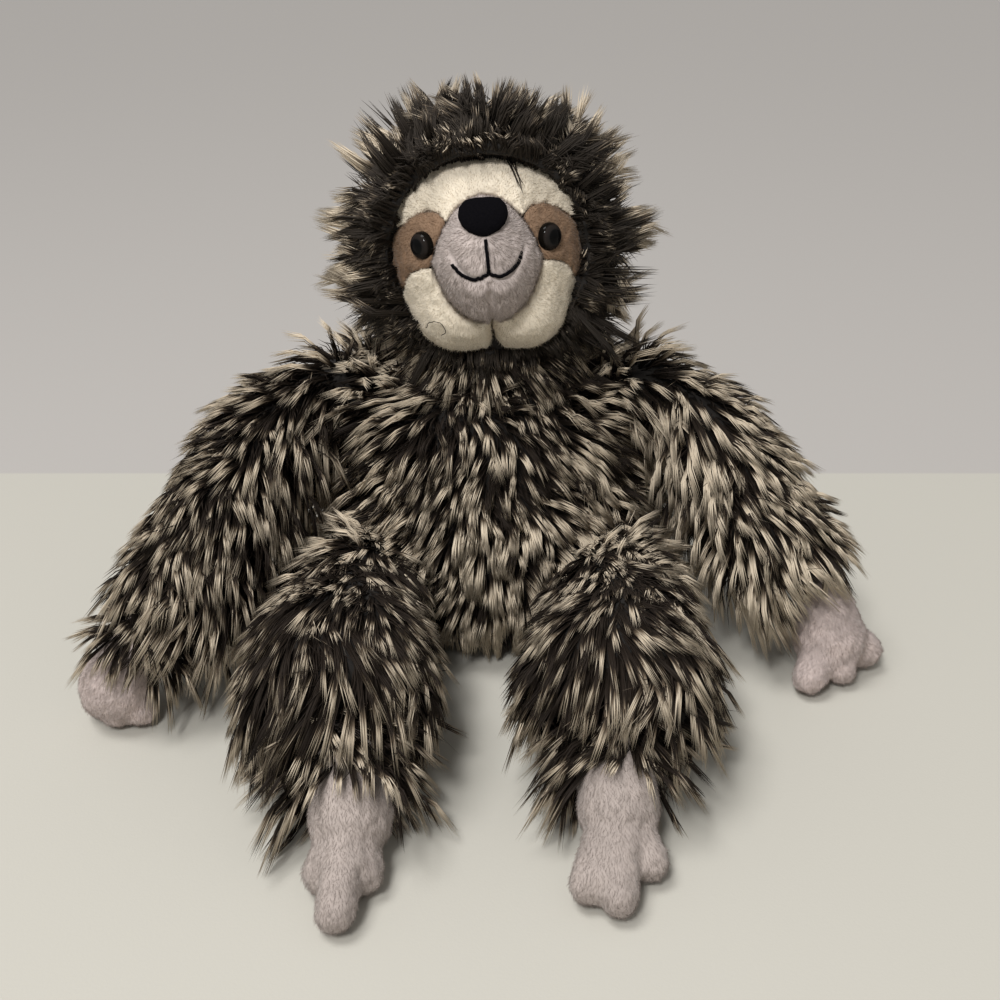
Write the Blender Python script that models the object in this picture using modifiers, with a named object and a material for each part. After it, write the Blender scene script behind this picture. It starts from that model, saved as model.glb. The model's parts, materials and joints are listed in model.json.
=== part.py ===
"""Plush sloth, sitting with its arms and legs stretched forward.

The toy faces -Y and up is +Z. The middle of its flat seat is the origin.
Its own left side is at +X. All lengths are in metres.
"""
import math

import bmesh
import bpy
from mathutils import Matrix, Vector

# Cloth and fit
BODY_PILE_COVER = 0.009      # long-pile fur cloth of the body, with its pile as it lies
HOOD_PILE_DEPTH = 0.015      # the same cloth on the head, where the pile stands out
SHORT_PLUSH = 0.003          # short plush of the face, paws and feet
SEAT_GAP = 0.0003            # clearance between two pieces that touch
STUFFING_GAP = 0.0006        # clearance between stuffing and the cover round it
CUT_OVERRUN = 0.004          # how far a cutter runs past what it cuts
FLOOR_GAP = 0.0005           # paws and feet lie this far above the floor
SEAT_FLAT_DEPTH = 0.0005     # depth of the flat that the seat stands on

# Torso
TORSO_HEIGHT = 0.114
TORSO_RADIUS = 0.070
# Height share and radius share, from the middle of the seat up to the neck opening
TORSO_PROFILE_SHARES = (
    (0.000, 0.000),
    (0.000, 0.460),
    (0.008, 0.640),
    (0.040, 0.800),
    (0.110, 0.920),
    (0.220, 0.985),
    (0.360, 1.000),
    (0.500, 0.970),
    (0.640, 0.905),
    (0.760, 0.825),
    (0.860, 0.735),
    (0.930, 0.640),
    (0.975, 0.530),
    (1.000, 0.400),
)
PELLET_BAG_RADIUS = 0.038
PELLET_BAG_HEIGHT = 0.018

# Neck
NECK_BALL_RADIUS = 0.034
NECK_RISE = -0.006           # neck centre above the torso's top

# Head
HEAD_RADIUS = 0.052          # over the combed pile of the hood
HEAD_RISE = 0.052            # head centre above the neck centre
HEAD_FORWARD = 0.003
FACE_BALL_RADIUS = 0.037     # over the short plush of the face
FACE_FORWARD = 0.010         # face ball centre in front of the head centre
FACE_DROP = 0.0025
FACE_HALF_WIDTH = 0.911 * FACE_BALL_RADIUS
FACE_TILT = math.radians(8)
FACE_ROLL = math.radians(4)
HOOD_PARTING_FLARE = 0.0093  # how much wider than the face the parted fur opens in front
HOOD_PARTING_REACH = 1.24 * FACE_BALL_RADIUS    # where the parting ends, before the face centre
HOOD_RIM_SHARE = 0.333       # of the face ball's radius, where the parting meets the face's edge
SEAM_GAP = 0.0006            # between two sewn panels

# Muzzle, nose and mouth, in the face's own frame: across, up and out
MUZZLE_HALF_WIDTH = 0.527 * FACE_BALL_RADIUS
MUZZLE_HALF_HEIGHT = 0.608 * FACE_BALL_RADIUS
MUZZLE_HALF_DEPTH = 0.486 * FACE_BALL_RADIUS
MUZZLE_UP = 0.027 * FACE_BALL_RADIUS
MUZZLE_OUT = 0.824 * FACE_BALL_RADIUS
MUZZLE_TOP_TAPER_SHARE = 0.24    # how much narrower than an oval the muzzle is at its top
MUZZLE_CHIN_TAPER_SHARE = 0.12   # the same at its chin
NOSE_HALF_WIDTH = 0.462 * MUZZLE_HALF_WIDTH
NOSE_HALF_HEIGHT = 0.400 * MUZZLE_HALF_WIDTH
NOSE_HALF_DEPTH = 0.174 * MUZZLE_HALF_WIDTH
NOSE_UP_SHARE = 0.74         # of the muzzle's half height
THREAD_RADIUS = 0.0006
MOUTH_HALF_WIDTH_SHARE = 0.64
MOUTH_END_UP_SHARE = 0.04
MOUTH_MIDDLE_UP_SHARE = -0.06
MOUTH_DIP_SHARE = 0.07
MOUTH_POINTS = 17

# Eyes: a dome with a shank and a washer on its back
EYE_RADIUS = 0.0050
EYE_DOME_HEIGHT = 0.0036
EYE_RIM_HEIGHT = 0.0008
EYE_ACROSS = 0.611 * FACE_BALL_RADIUS
EYE_UP = 0.197 * FACE_BALL_RADIUS
EYE_TURN = math.radians(41)  # the eyes look out to the sides
EYE_SINK = 0.0010            # the dome is pressed into the pile
SHANK_RADIUS = 0.0016
SHANK_LENGTH = 0.0110
WASHER_RADIUS = 0.0060
WASHER_THICKNESS = 0.0013
WASHER_SETBACK = 0.0050      # washer behind the dome's back

# Eye patch outline, as shares of the face's half width
PATCH_OUTLINE_SHARES = (
    (0.430, 0.470),
    (0.570, 0.530),
    (0.760, 0.425),
    (0.960, 0.230),
    (1.100, -0.020),
    (1.100, -0.300),
    (0.930, -0.290),
    (0.850, -0.110),
    (0.690, -0.020),
    (0.430, 0.040),
)

# Arms
ARM_LENGTH = 0.130
ARM_ROOT_RADIUS = 0.017
ARM_RADIUS = 0.025
ARM_MOUTH_RADIUS = 0.0170
SHOULDER_HEIGHT_SHARE = 0.855   # of the torso's height
SHOULDER_OUT_SHARE = 0.920      # of the torso's radius
SHOULDER_FORWARD_SHARE = 0.057
WRIST_HEIGHT = 0.0306
# Outward and forward as shares of the arm's length, and the share of the fall to the wrist
LEFT_ARM_PATH_SHARES = (
    (0.0, 0.0, 0.0),
    (0.188, 0.100, 0.196),
    (0.360, 0.310, 0.667),
    (0.535, 0.430, 1.0),
)
RIGHT_ARM_PATH_SHARES = (
    (0.0, 0.0, 0.0),
    (0.192, 0.155, 0.188),
    (0.352, 0.440, 0.663),
    (0.505, 0.675, 1.0),
)
# Share along the arm and share of the way from the root's radius to the full radius
ARM_SWELL_SHARES = (
    (0.0, 0.0),
    (0.11, 0.0),
    (0.24, 0.35),
    (0.40, 0.90),
    (0.60, 1.0),
    (0.78, 0.95),
    (0.90, 0.70),
)

# Paws
WRIST_BALL_RADIUS = 0.0105
WRIST_SETBACK = 0.007        # the sleeve ends this far before the wrist's centre
PALM_RADIUS = 0.0150
FINGER_RADIUS = 0.0070
THUMB_RADIUS = 0.0082
LOBE_ROOT_SHARE = 1.3        # a finger or toe is this much thicker at its root
PAW_LENGTH = 0.030
PAW_CAVITY_NECK = 0.0045     # radius of the opening that the paw is stuffed through
# Outward and forward from the wrist, as shares of the paw's length: the palm, then the fingers
LEFT_PAW_SHARES = ((0.08, 0.22), (0.56, 0.18), (0.18, 0.54), (-0.28, 0.76))
RIGHT_PAW_SHARES = ((0.30, 0.18), (0.54, 0.18), (0.30, 0.36), (0.04, 0.34))

# Legs
LEG_ROOT_RADIUS = 0.025
LEG_RADIUS = 0.034
LEG_MOUTH_RADIUS = 0.0225
LEG_LENGTH = 0.088
LEG_FLOOR_GAP = 0.0018       # under the fattest part of the leg
LEG_DROP_SHARE = 0.10        # of the fall from knee to ankle, at the third point of the path
HIP_HEIGHT = 0.034
HIP_OUT_SHARE = 0.720        # of the torso's radius
HIP_FORWARD_SHARE = 0.900
# Outward and forward from the hip as shares of the leg's length, with the knee lying on the floor
LEFT_LEG_PATH_SHARES = ((0.0, 0.0), (-0.020, 0.42), (-0.050, 0.70), (-0.080, 0.92))
RIGHT_LEG_PATH_SHARES = ((0.0, 0.0), (0.030, 0.42), (0.010, 0.72), (-0.045, 0.955))
LEG_SWELL_SHARES = (
    (0.0, 0.0),
    (0.11, 0.0),
    (0.30, 0.58),
    (0.50, 1.0),
    (0.68, 0.95),
    (0.78, 0.70),
    (0.89, 0.25),
)

# Feet
ANKLE_BALL_RADIUS = 0.012
ANKLE_SETBACK = 0.006
ANKLE_HEIGHT = 0.0245
FOOT_RADIUS = 0.0142
TOE_RADIUS = 0.0070
FOOT_LENGTH = 0.055
# Outward and forward from the ankle, as shares of the foot's length: the instep, then the toes
LEFT_FOOT_SHARES = ((0.00, 0.36), (-0.20, 0.83), (-0.04, 0.92), (0.16, 0.65))
RIGHT_FOOT_SHARES = ((-0.05, 0.40), (-0.02, 0.97), (-0.15, 0.69), (0.09, 0.69))

# Mesh counts
TORSO_STEPS = 24
HEAD_STEPS = 24
SEAT_STEPS = 24
SMALL_STEPS = 14
TUBE_BEVEL_STEPS = 4         # a bevelled curve has twice this many sides, plus four
PATH_STEPS = 9
CAP_RINGS = 3
TOE_BEVEL_STEPS = 2
THREAD_BEVEL_STEPS = 1
OUTLINE_STEPS = 3            # between two points of the eye patch's outline
PROFILE_STEPS = 6
CAP_END_ANGLE = math.radians(78)
CAVITY_TURN = math.radians(39)   # where the hollow of a paw or foot starts to round

COLOURS = {
    "fur": (0.075, 0.062, 0.047),
    "stuffing": (0.80, 0.80, 0.78),
    "pellets": (0.55, 0.50, 0.42),
    "cream": (0.658, 0.568, 0.440),
    "brown": (0.185, 0.119, 0.077),
    "muzzle": (0.289, 0.246, 0.225),
    "paw": (0.337, 0.279, 0.253),
    "foot": (0.417, 0.355, 0.309),
    "black": (0.007, 0.007, 0.009),
    "eye": (0.016, 0.010, 0.007),
    "washer": (0.70, 0.70, 0.68),
}
ROUGHNESS = {"eye": 0.08, "washer": 0.4}
CLOTH_ROUGHNESS = 0.9

# Places worked out from the sizes above
NECK_CENTRE = Vector((0, 0, TORSO_HEIGHT + NECK_RISE))
HEAD_CENTRE = NECK_CENTRE + Vector((0, -HEAD_FORWARD, HEAD_RISE))
FACE_CENTRE = HEAD_CENTRE + Vector((0, -FACE_FORWARD, -FACE_DROP))
HEAD_CORE_RADIUS = HEAD_RADIUS - HOOD_PILE_DEPTH
FACE_CORE_RADIUS = FACE_BALL_RADIUS - SHORT_PLUSH


def face_matrix():
    """The face's own frame: X across, Y up the face and Z straight out of it."""
    out = Vector((0, -math.cos(FACE_TILT), math.sin(FACE_TILT)))
    level_up = Vector((0, math.sin(FACE_TILT), math.cos(FACE_TILT)))
    across = Vector((math.cos(FACE_ROLL), 0, 0)) + level_up * math.sin(FACE_ROLL)
    up = out.cross(across)
    turn = Matrix((across, up, out)).transposed().to_4x4()
    return Matrix.Translation(FACE_CENTRE) @ turn


FACE = face_matrix()


def start_scene():
    """Empties the scene and makes one collection for the parts and one for the cutters."""
    for old in list(bpy.data.objects):
        bpy.data.objects.remove(old, do_unlink=True)
    parts = bpy.data.collections.new("plush_sloth")
    cutters = bpy.data.collections.new("cutters")
    bpy.context.scene.collection.children.link(parts)
    bpy.context.scene.collection.children.link(cutters)
    return parts, cutters


PARTS, CUTTERS = start_scene()


def cloth(name, kind):
    """One Principled material for one piece."""
    made = bpy.data.materials.new(name)
    made.use_nodes = True
    shader = made.node_tree.nodes["Principled BSDF"]
    shader.inputs["Base Color"].default_value = (*COLOURS[kind], 1)
    shader.inputs["Roughness"].default_value = ROUGHNESS.get(kind, CLOTH_ROUGHNESS)
    shader.inputs["Metallic"].default_value = 0
    return made


def link_mesh(name, mesh):
    """Puts a mesh into the scene as a plain object among the cutters."""
    thing = bpy.data.objects.new(name, mesh)
    CUTTERS.objects.link(thing)
    thing.hide_render = True
    thing.display_type = "WIRE"
    return thing


def as_part(thing, name, colour):
    """Makes a shape a named part with its own material."""
    CUTTERS.objects.unlink(thing)
    PARTS.objects.link(thing)
    thing.name = name
    thing.hide_render = False
    thing.display_type = "TEXTURED"
    thing.data.materials.clear()
    thing.data.materials.append(cloth(name, colour))
    thing.data.shade_smooth()
    return thing


def boolean(target, other, operation):
    """Adds one live Boolean to a part or a cutter."""
    step = target.modifiers.new(operation.lower() + "_" + other.name, "BOOLEAN")
    step.operation = operation
    step.object = other
    step.solver = "EXACT"
    return target


def cut(target, *others):
    """Cuts every cutter out of the target."""
    for other in others:
        boolean(target, other, "DIFFERENCE")
    return target


def settled(thing):
    """Swaps an object for a mesh with its curve or modifiers applied and its doubles merged."""
    bpy.context.view_layer.update()
    reader = thing.evaluated_get(bpy.context.evaluated_depsgraph_get())
    mesh = bpy.data.meshes.new_from_object(reader)
    work = bmesh.new()
    work.from_mesh(mesh)
    bmesh.ops.remove_doubles(work, verts=work.verts, dist=SEAT_GAP / PROFILE_STEPS)
    work.to_mesh(mesh)
    work.free()
    place = thing.matrix_world.copy()
    name = thing.name
    bpy.data.objects.remove(thing, do_unlink=True)
    made = link_mesh(name, mesh)
    made.matrix_world = place
    bpy.context.view_layer.update()
    return made


def turned(name, profile, steps):
    """Turns a profile of (radius, height) points, bottom up along the inside, about Z."""
    mesh = bpy.data.meshes.new(name)
    edges = [(index, index + 1) for index in range(len(profile) - 1)]
    mesh.from_pydata([(radius, 0, height) for radius, height in profile], edges, [])
    thing = link_mesh(name, mesh)
    screw = thing.modifiers.new("turn", "SCREW")
    screw.steps = steps
    screw.render_steps = steps
    screw.use_merge_vertices = True
    screw.merge_threshold = SEAT_GAP / PROFILE_STEPS
    return settled(thing)


def clearing(radius, steps):
    """The corner radius of a faceted ball whose flats still clear a round ball of this radius."""
    return radius / math.cos(math.pi / steps) ** 2


def seat_ball(name, centre, radius):
    """A cutter that makes a round seat for a ball of this radius, with the clearance."""
    return ball(name, centre, clearing(radius + SEAT_GAP, SEAT_STEPS), SEAT_STEPS)


def ball(name, centre, radius, steps):
    """A round ball."""
    half = steps // 2
    angles = [math.pi * (0.5 - index / half) for index in range(half + 1)]
    profile = [(abs(radius * math.cos(angle)), radius * math.sin(angle)) for angle in angles]
    profile[0] = (0, radius)
    profile[-1] = (0, -radius)
    thing = turned(name, profile, steps)
    thing.location = centre
    bpy.context.view_layer.update()
    return thing


def soft_ball(name, frame, half_sizes, steps):
    """An oval form, turned round the frame's Z and then drawn out to its three half sizes."""
    thing = ball(name, Vector(), 1, steps)
    thing.data.transform(frame @ Matrix.Diagonal((*half_sizes, 1)))
    return thing


def tube(name, stations, bevel_steps):
    """A tube through (centre, radius) stations, with filled and welded ends."""
    curve = bpy.data.curves.new(name, "CURVE")
    curve.dimensions = "3D"
    curve.bevel_depth = 1
    curve.bevel_resolution = bevel_steps
    curve.use_fill_caps = True
    spline = curve.splines.new("POLY")
    spline.points.add(len(stations) - 1)
    for point, (centre, radius) in zip(spline.points, stations):
        point.co = (*centre, 1)
        point.radius = radius
    thing = bpy.data.objects.new(name, curve)
    CUTTERS.objects.link(thing)
    return settled(thing)


def between(shares, at):
    """Reads a table of (share, value) rows at one share, with straight runs between."""
    for (left, low), (right, high) in zip(shares, shares[1:]):
        if at <= right:
            return low + (high - low) * (at - left) / (right - left)
    return shares[-1][1]


def smooth_path(points, steps):
    """Even stations on a smooth curve through a few points, and the curve's direction there."""
    path = []
    last = len(points) - 1
    for index in range(steps + 1):
        along = last * index / steps
        leg = min(int(along), last - 1)
        at = along - leg
        before = points[leg - 1] if leg else points[0] + (points[0] - points[1])
        after = points[leg + 2] if leg + 2 <= last else points[last] + (points[last] - points[last - 1])
        start, end = points[leg], points[leg + 1]
        place = (start * 2 + (end - before) * at
                 + (before * 2 - start * 5 + end * 4 - after) * at ** 2
                 + (start * 3 - before - end * 3 + after) * at ** 3) / 2
        path.append(place)
    return path


def round_end(centre, outward, radius):
    """Rings of a half ball whose pole points outward, pole first."""
    rings = []
    for index in range(CAP_RINGS):
        angle = CAP_END_ANGLE * (1 - index / CAP_RINGS)
        rings.append((centre + outward * radius * math.sin(angle), radius * math.cos(angle)))
    return rings


def sleeve_stations(path, swell_shares, root_radius, full_radius, mouth_radius, inset, setback):
    """Stations of a sleeve from its round root to its mouth, drawn in by inset."""
    outward = (path[0] - path[1]).normalized()
    stations = round_end(path[0], outward, root_radius - inset)
    steps = len(path) - 1
    swell = swell_shares + ((1.0, (mouth_radius - root_radius) / (full_radius - root_radius)),)
    for index, place in enumerate(path[:-1]):
        radius = root_radius + (full_radius - root_radius) * between(swell, index / steps)
        stations.append((place, radius - inset))
    inward = (path[-2] - path[-1]).normalized()
    stations.append((path[-1] + inward * setback, mouth_radius - inset))
    return stations


def capsule(name, start, end, start_radius, end_radius, bevel_steps):
    """A rounded taper from one ball to another."""
    along = (end - start).normalized()
    stations = round_end(start, -along, start_radius)
    stations.append((start, start_radius))
    stations.append((end, end_radius))
    stations += reversed(round_end(end, along, end_radius))
    return tube(name, stations, bevel_steps)


def inset_profile(profile, inset):
    """Draws a (radius, height) profile in by a wall, square to its own slope."""
    moved = []
    for index, (radius, height) in enumerate(profile):
        before = profile[max(index - 1, 0)]
        after = profile[min(index + 1, len(profile) - 1)]
        slope = Vector((after[0] - before[0], after[1] - before[1])).normalized()
        moved.append((max(radius - slope.y * inset, 0), height + slope.x * inset))
    moved[0] = (0, profile[0][1] + inset)
    return moved


def torso_profile():
    """The torso's outer profile, from the middle of the seat up to the neck opening."""
    height = TORSO_HEIGHT + SEAT_FLAT_DEPTH
    return [(share_out * TORSO_RADIUS, share_up * height - SEAT_FLAT_DEPTH)
            for share_up, share_out in TORSO_PROFILE_SHARES]


def limb_path(pivot, side, shares, length, heights):
    """A limb's path from its pivot, by shares outward and forward and by set heights."""
    points = []
    for share, height in zip(shares, heights):
        place = pivot + Vector((side * share[0], -share[1], 0)) * length
        place.z = height
        points.append(place)
    return smooth_path(points, PATH_STEPS)


def floor_point(pivot, side, share, length, radius):
    """The centre of a ball of this radius that lies on the floor near a wrist or an ankle."""
    place = pivot + Vector((side * share[0], -share[1], 0)) * length
    place.z = radius + FLOOR_GAP
    return place


# Torso

def build_torso(seats, floor):
    """Fur cover open at the neck, stuffing inside and a bag of pellets in the seat."""
    outer = torso_profile()
    inner = inset_profile(outer, BODY_PILE_COVER)
    cover = turned("torso_cover_shape", list(reversed(outer)) + inner + [outer[-1]], TORSO_STEPS)
    face_outward(cover)
    cover = as_part(cover, "torso_fur_cover", "fur")
    core = inset_profile(outer, BODY_PILE_COVER + STUFFING_GAP)
    core_shape = turned("torso_core_shape", [(0, core[-1][1])] + list(reversed(core)), TORSO_STEPS)
    stuffing = as_part(core_shape, "torso_stuffing", "stuffing")
    cut(cover, floor, *seats)
    bag_base = BODY_PILE_COVER + SEAT_GAP
    bag = turned("bag_shape", bag_profile(bag_base, 0), TORSO_STEPS)
    bag = as_part(bag, "seat_pellet_bag", "pellets")
    pocket = turned("bag_pocket", bag_profile(bag_base, SEAT_GAP), TORSO_STEPS)
    cut(stuffing, pocket, *seats)



def bag_profile(base, growth):
    """A low cushion of pellets; growth makes the pocket that holds it."""
    bottom = base - (CUT_OVERRUN if growth else 0)
    profile = [(0, base + PELLET_BAG_HEIGHT + growth)]
    for index in range(1, PROFILE_STEPS + 1):
        angle = math.pi / 2 * (1 - index / PROFILE_STEPS)
        radius = (PELLET_BAG_RADIUS + growth) * math.cos(angle)
        height = base + (PELLET_BAG_HEIGHT + growth) * math.sin(angle)
        profile.append((radius, height))
    if growth:
        profile.append((PELLET_BAG_RADIUS + growth, bottom))
    profile.append((0, bottom))
    return profile


def face_outward(thing):
    """Points a closed mesh's faces outward."""
    work = bmesh.new()
    work.from_mesh(thing.data)
    bmesh.ops.recalc_face_normals(work, faces=work.faces)
    if work.calc_volume(signed=True) < 0:
        bmesh.ops.reverse_faces(work, faces=work.faces)
    work.to_mesh(thing.data)
    work.free()


# Head

def outline_prism(name, outline, depth):
    """A flat outline in the face's frame, extruded forward from the face's centre."""
    curve = bpy.data.curves.new(name, "CURVE")
    curve.dimensions = "2D"
    curve.fill_mode = "BOTH"
    curve.extrude = depth / 2
    curve.resolution_u = OUTLINE_STEPS
    spline = curve.splines.new("BEZIER")
    spline.bezier_points.add(len(outline) - 1)
    for point, (across, up) in zip(spline.bezier_points, outline):
        point.co = (across, up, 0)
        point.handle_left_type = "AUTO"
        point.handle_right_type = "AUTO"
    spline.use_cyclic_u = True
    thing = bpy.data.objects.new(name, curve)
    CUTTERS.objects.link(thing)
    thing.matrix_world = FACE @ Matrix.Translation((0, 0, depth / 2))
    return settled(thing)


def patch_outline(side, growth):
    """The leaf-shaped eye patch's outline, grown all round by a clearance."""
    points = [Vector(shares) * FACE_HALF_WIDTH for shares in PATCH_OUTLINE_SHARES]
    grown = []
    for index, point in enumerate(points):
        slope = (points[(index + 1) % len(points)] - points[index - 1]).normalized()
        grown.append(point + Vector((-slope.y, slope.x)) * growth)
    return [(side * point.x, point.y) for point in grown]


def face_block(name, low, high):
    """A box in the face's frame between two corners."""
    bpy.ops.mesh.primitive_cube_add(size=1)
    block = bpy.context.object
    block.name = name
    size = high - low
    block.data.transform(FACE @ Matrix.Translation((low + high) / 2) @ Matrix.Diagonal((*size, 1)))
    for home in list(block.users_collection):
        home.objects.unlink(block)
    CUTTERS.objects.link(block)
    block.hide_render = True
    block.display_type = "WIRE"
    return block


def face_cap(name):
    """The domed disc that all the face panels are cut from, open at its back."""
    outer, inner = [], []
    edge_out = math.asin(FACE_HALF_WIDTH / FACE_BALL_RADIUS)
    inner_radius = clearing(FACE_CORE_RADIUS, HEAD_STEPS)
    edge_in = math.asin(FACE_HALF_WIDTH / inner_radius)
    for index in range(PROFILE_STEPS + 1):
        share = index / PROFILE_STEPS
        turn_out = edge_out * share
        turn_in = edge_in * share
        outer.append((FACE_BALL_RADIUS * math.sin(turn_out), FACE_BALL_RADIUS * math.cos(turn_out)))
        inner.append((inner_radius * math.sin(turn_in), inner_radius * math.cos(turn_in)))
    cap = turned(name, outer + list(reversed(inner)), HEAD_STEPS)
    cap.data.transform(FACE)
    return cap


def eye_frame(side):
    """An eye's frame: its origin under the dome's back and its Z along the shank, outward."""
    out = math.sqrt(FACE_BALL_RADIUS ** 2 - EYE_ACROSS ** 2 - EYE_UP ** 2)
    place = Vector((side * EYE_ACROSS, EYE_UP, out))
    turn = Matrix.Rotation(side * EYE_TURN, 4, "Y")
    sink = Matrix.Translation((0, 0, -EYE_SINK))
    return FACE @ Matrix.Translation(place) @ turn @ sink


def eye_profile():
    """Dome, rim and shank, from the top of the dome down its outer side."""
    profile = []
    for index in range(PROFILE_STEPS + 1):
        angle = math.pi / 2 * (1 - index / PROFILE_STEPS)
        radius = EYE_RADIUS * math.cos(angle) if index else 0
        profile.append((radius, EYE_RIM_HEIGHT + EYE_DOME_HEIGHT * math.sin(angle)))
    profile += [(EYE_RADIUS, 0), (SHANK_RADIUS, 0), (SHANK_RADIUS, -SHANK_LENGTH), (0, -SHANK_LENGTH)]
    return profile


def build_eye(side, name):
    """Returns the eye, its washer and the cutters that make room for them."""
    frame = eye_frame(side)
    eye = turned("eye_shape", eye_profile(), SMALL_STEPS)
    eye.data.transform(frame)
    eye = as_part(eye, "eye_" + name, "eye")
    hole = SHANK_RADIUS + SEAT_GAP
    top = -WASHER_SETBACK
    bottom = top - WASHER_THICKNESS
    ring = [(hole, top), (WASHER_RADIUS, top), (WASHER_RADIUS, bottom), (hole, bottom), (hole, top)]
    washer = turned("washer_shape", ring, SMALL_STEPS)
    washer.data.transform(frame)
    washer = as_part(washer, "eye_washer_" + name, "washer")
    grown = EYE_RADIUS + SEAT_GAP
    seat_profile = [(0, EYE_DOME_HEIGHT + CUT_OVERRUN), (grown, EYE_DOME_HEIGHT + CUT_OVERRUN),
                    (grown, -SEAT_GAP), (hole, -SEAT_GAP), (hole, -SHANK_LENGTH), (0, -SHANK_LENGTH)]
    seat = turned("eye_seat_" + name, seat_profile, SMALL_STEPS)
    seat.data.transform(frame)
    wide = WASHER_RADIUS + SEAT_GAP
    pit = -SHANK_LENGTH - SEAT_GAP
    pocket_profile = [(0, CUT_OVERRUN), (wide, CUT_OVERRUN), (wide, bottom - SEAT_GAP),
                      (hole, bottom - SEAT_GAP), (hole, pit), (0, pit)]
    pocket = turned("washer_pocket_" + name, pocket_profile, SMALL_STEPS)
    pocket.data.transform(frame)
    return eye, washer, seat, pocket


def muzzle_taper(height):
    """The muzzle's width at a height above its middle, over an oval's, and its change upward."""
    taper = MUZZLE_TOP_TAPER_SHARE if height > 0 else -MUZZLE_CHIN_TAPER_SHARE
    slope = -taper / MUZZLE_HALF_HEIGHT
    return 1 + slope * height, slope


def muzzle_form(name, inset, steps=HEAD_STEPS):
    """The muzzle's egg, drawn in by a wall or grown by a negative one."""
    halves = (MUZZLE_HALF_WIDTH - inset, MUZZLE_HALF_HEIGHT - inset, MUZZLE_HALF_DEPTH - inset)
    form = soft_ball(name, Matrix(), halves, steps)
    for vert in form.data.vertices:
        vert.co.x *= muzzle_taper(vert.co.y)[0]
    form.data.transform(FACE @ Matrix.Translation((0, MUZZLE_UP, MUZZLE_OUT)))
    return form


def on_muzzle(across, up, lift):
    """A point on the muzzle's front, lifted off it, in the face's frame."""
    height = up - MUZZLE_UP
    taper, slope = muzzle_taper(height)
    half_width = MUZZLE_HALF_WIDTH * taper
    rest = 1 - (across / half_width) ** 2 - (height / MUZZLE_HALF_HEIGHT) ** 2
    out = MUZZLE_HALF_DEPTH * math.sqrt(rest)
    narrowing = (across / half_width) ** 2 * slope / taper
    normal = Vector((across / half_width ** 2, height / MUZZLE_HALF_HEIGHT ** 2 - narrowing,
                     out / MUZZLE_HALF_DEPTH ** 2)).normalized()
    return Vector((across, up, MUZZLE_OUT + out)) + normal * lift


def build_nose():
    """A flat oval nose that sits on the upper front of the muzzle."""
    up = MUZZLE_UP + NOSE_UP_SHARE * MUZZLE_HALF_HEIGHT
    place = on_muzzle(0, up, 0)
    normal = (on_muzzle(0, up, NOSE_HALF_DEPTH) - place).normalized()
    turn = normal.to_track_quat("Z", "Y").to_matrix().to_4x4()
    halves = (NOSE_HALF_WIDTH, NOSE_HALF_HEIGHT, NOSE_HALF_DEPTH)
    nose = soft_ball("nose_shape", FACE @ Matrix.Translation(place) @ turn, halves, SMALL_STEPS)
    nose = as_part(nose, "nose", "black")
    cut(nose, muzzle_form("nose_seat", -SEAT_GAP))
    return nose


def build_mouth():
    """The stitched smile and the short seam up to the nose, one thread on the muzzle."""
    lift = THREAD_RADIUS + SEAT_GAP
    half = MOUTH_HALF_WIDTH_SHARE * MUZZLE_HALF_WIDTH
    smile = []
    for index in range(MOUTH_POINTS):
        side = 2 * index / (MOUTH_POINTS - 1) - 1
        dip = MOUTH_DIP_SHARE * math.sin(math.pi * abs(side))
        lift_share = (MOUTH_END_UP_SHARE - MOUTH_MIDDLE_UP_SHARE) * abs(side) ** 3
        rise = MOUTH_MIDDLE_UP_SHARE + lift_share - dip
        place = on_muzzle(side * half, MUZZLE_UP + rise * MUZZLE_HALF_HEIGHT, lift)
        smile.append((FACE @ place, THREAD_RADIUS))
    seam = []
    top = NOSE_UP_SHARE - (NOSE_HALF_HEIGHT + THREAD_RADIUS) / MUZZLE_HALF_HEIGHT
    for index in range(PROFILE_STEPS + 1):
        rise = MOUTH_MIDDLE_UP_SHARE + (top - MOUTH_MIDDLE_UP_SHARE) * index / PROFILE_STEPS
        place = on_muzzle(0, MUZZLE_UP + rise * MUZZLE_HALF_HEIGHT, lift)
        seam.append((FACE @ place, THREAD_RADIUS))
    mouth = as_part(tube("smile_shape", smile, THREAD_BEVEL_STEPS), "mouth_stitching", "black")
    boolean(mouth, tube("seam_shape", seam, THREAD_BEVEL_STEPS), "UNION")
    return mouth


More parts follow.
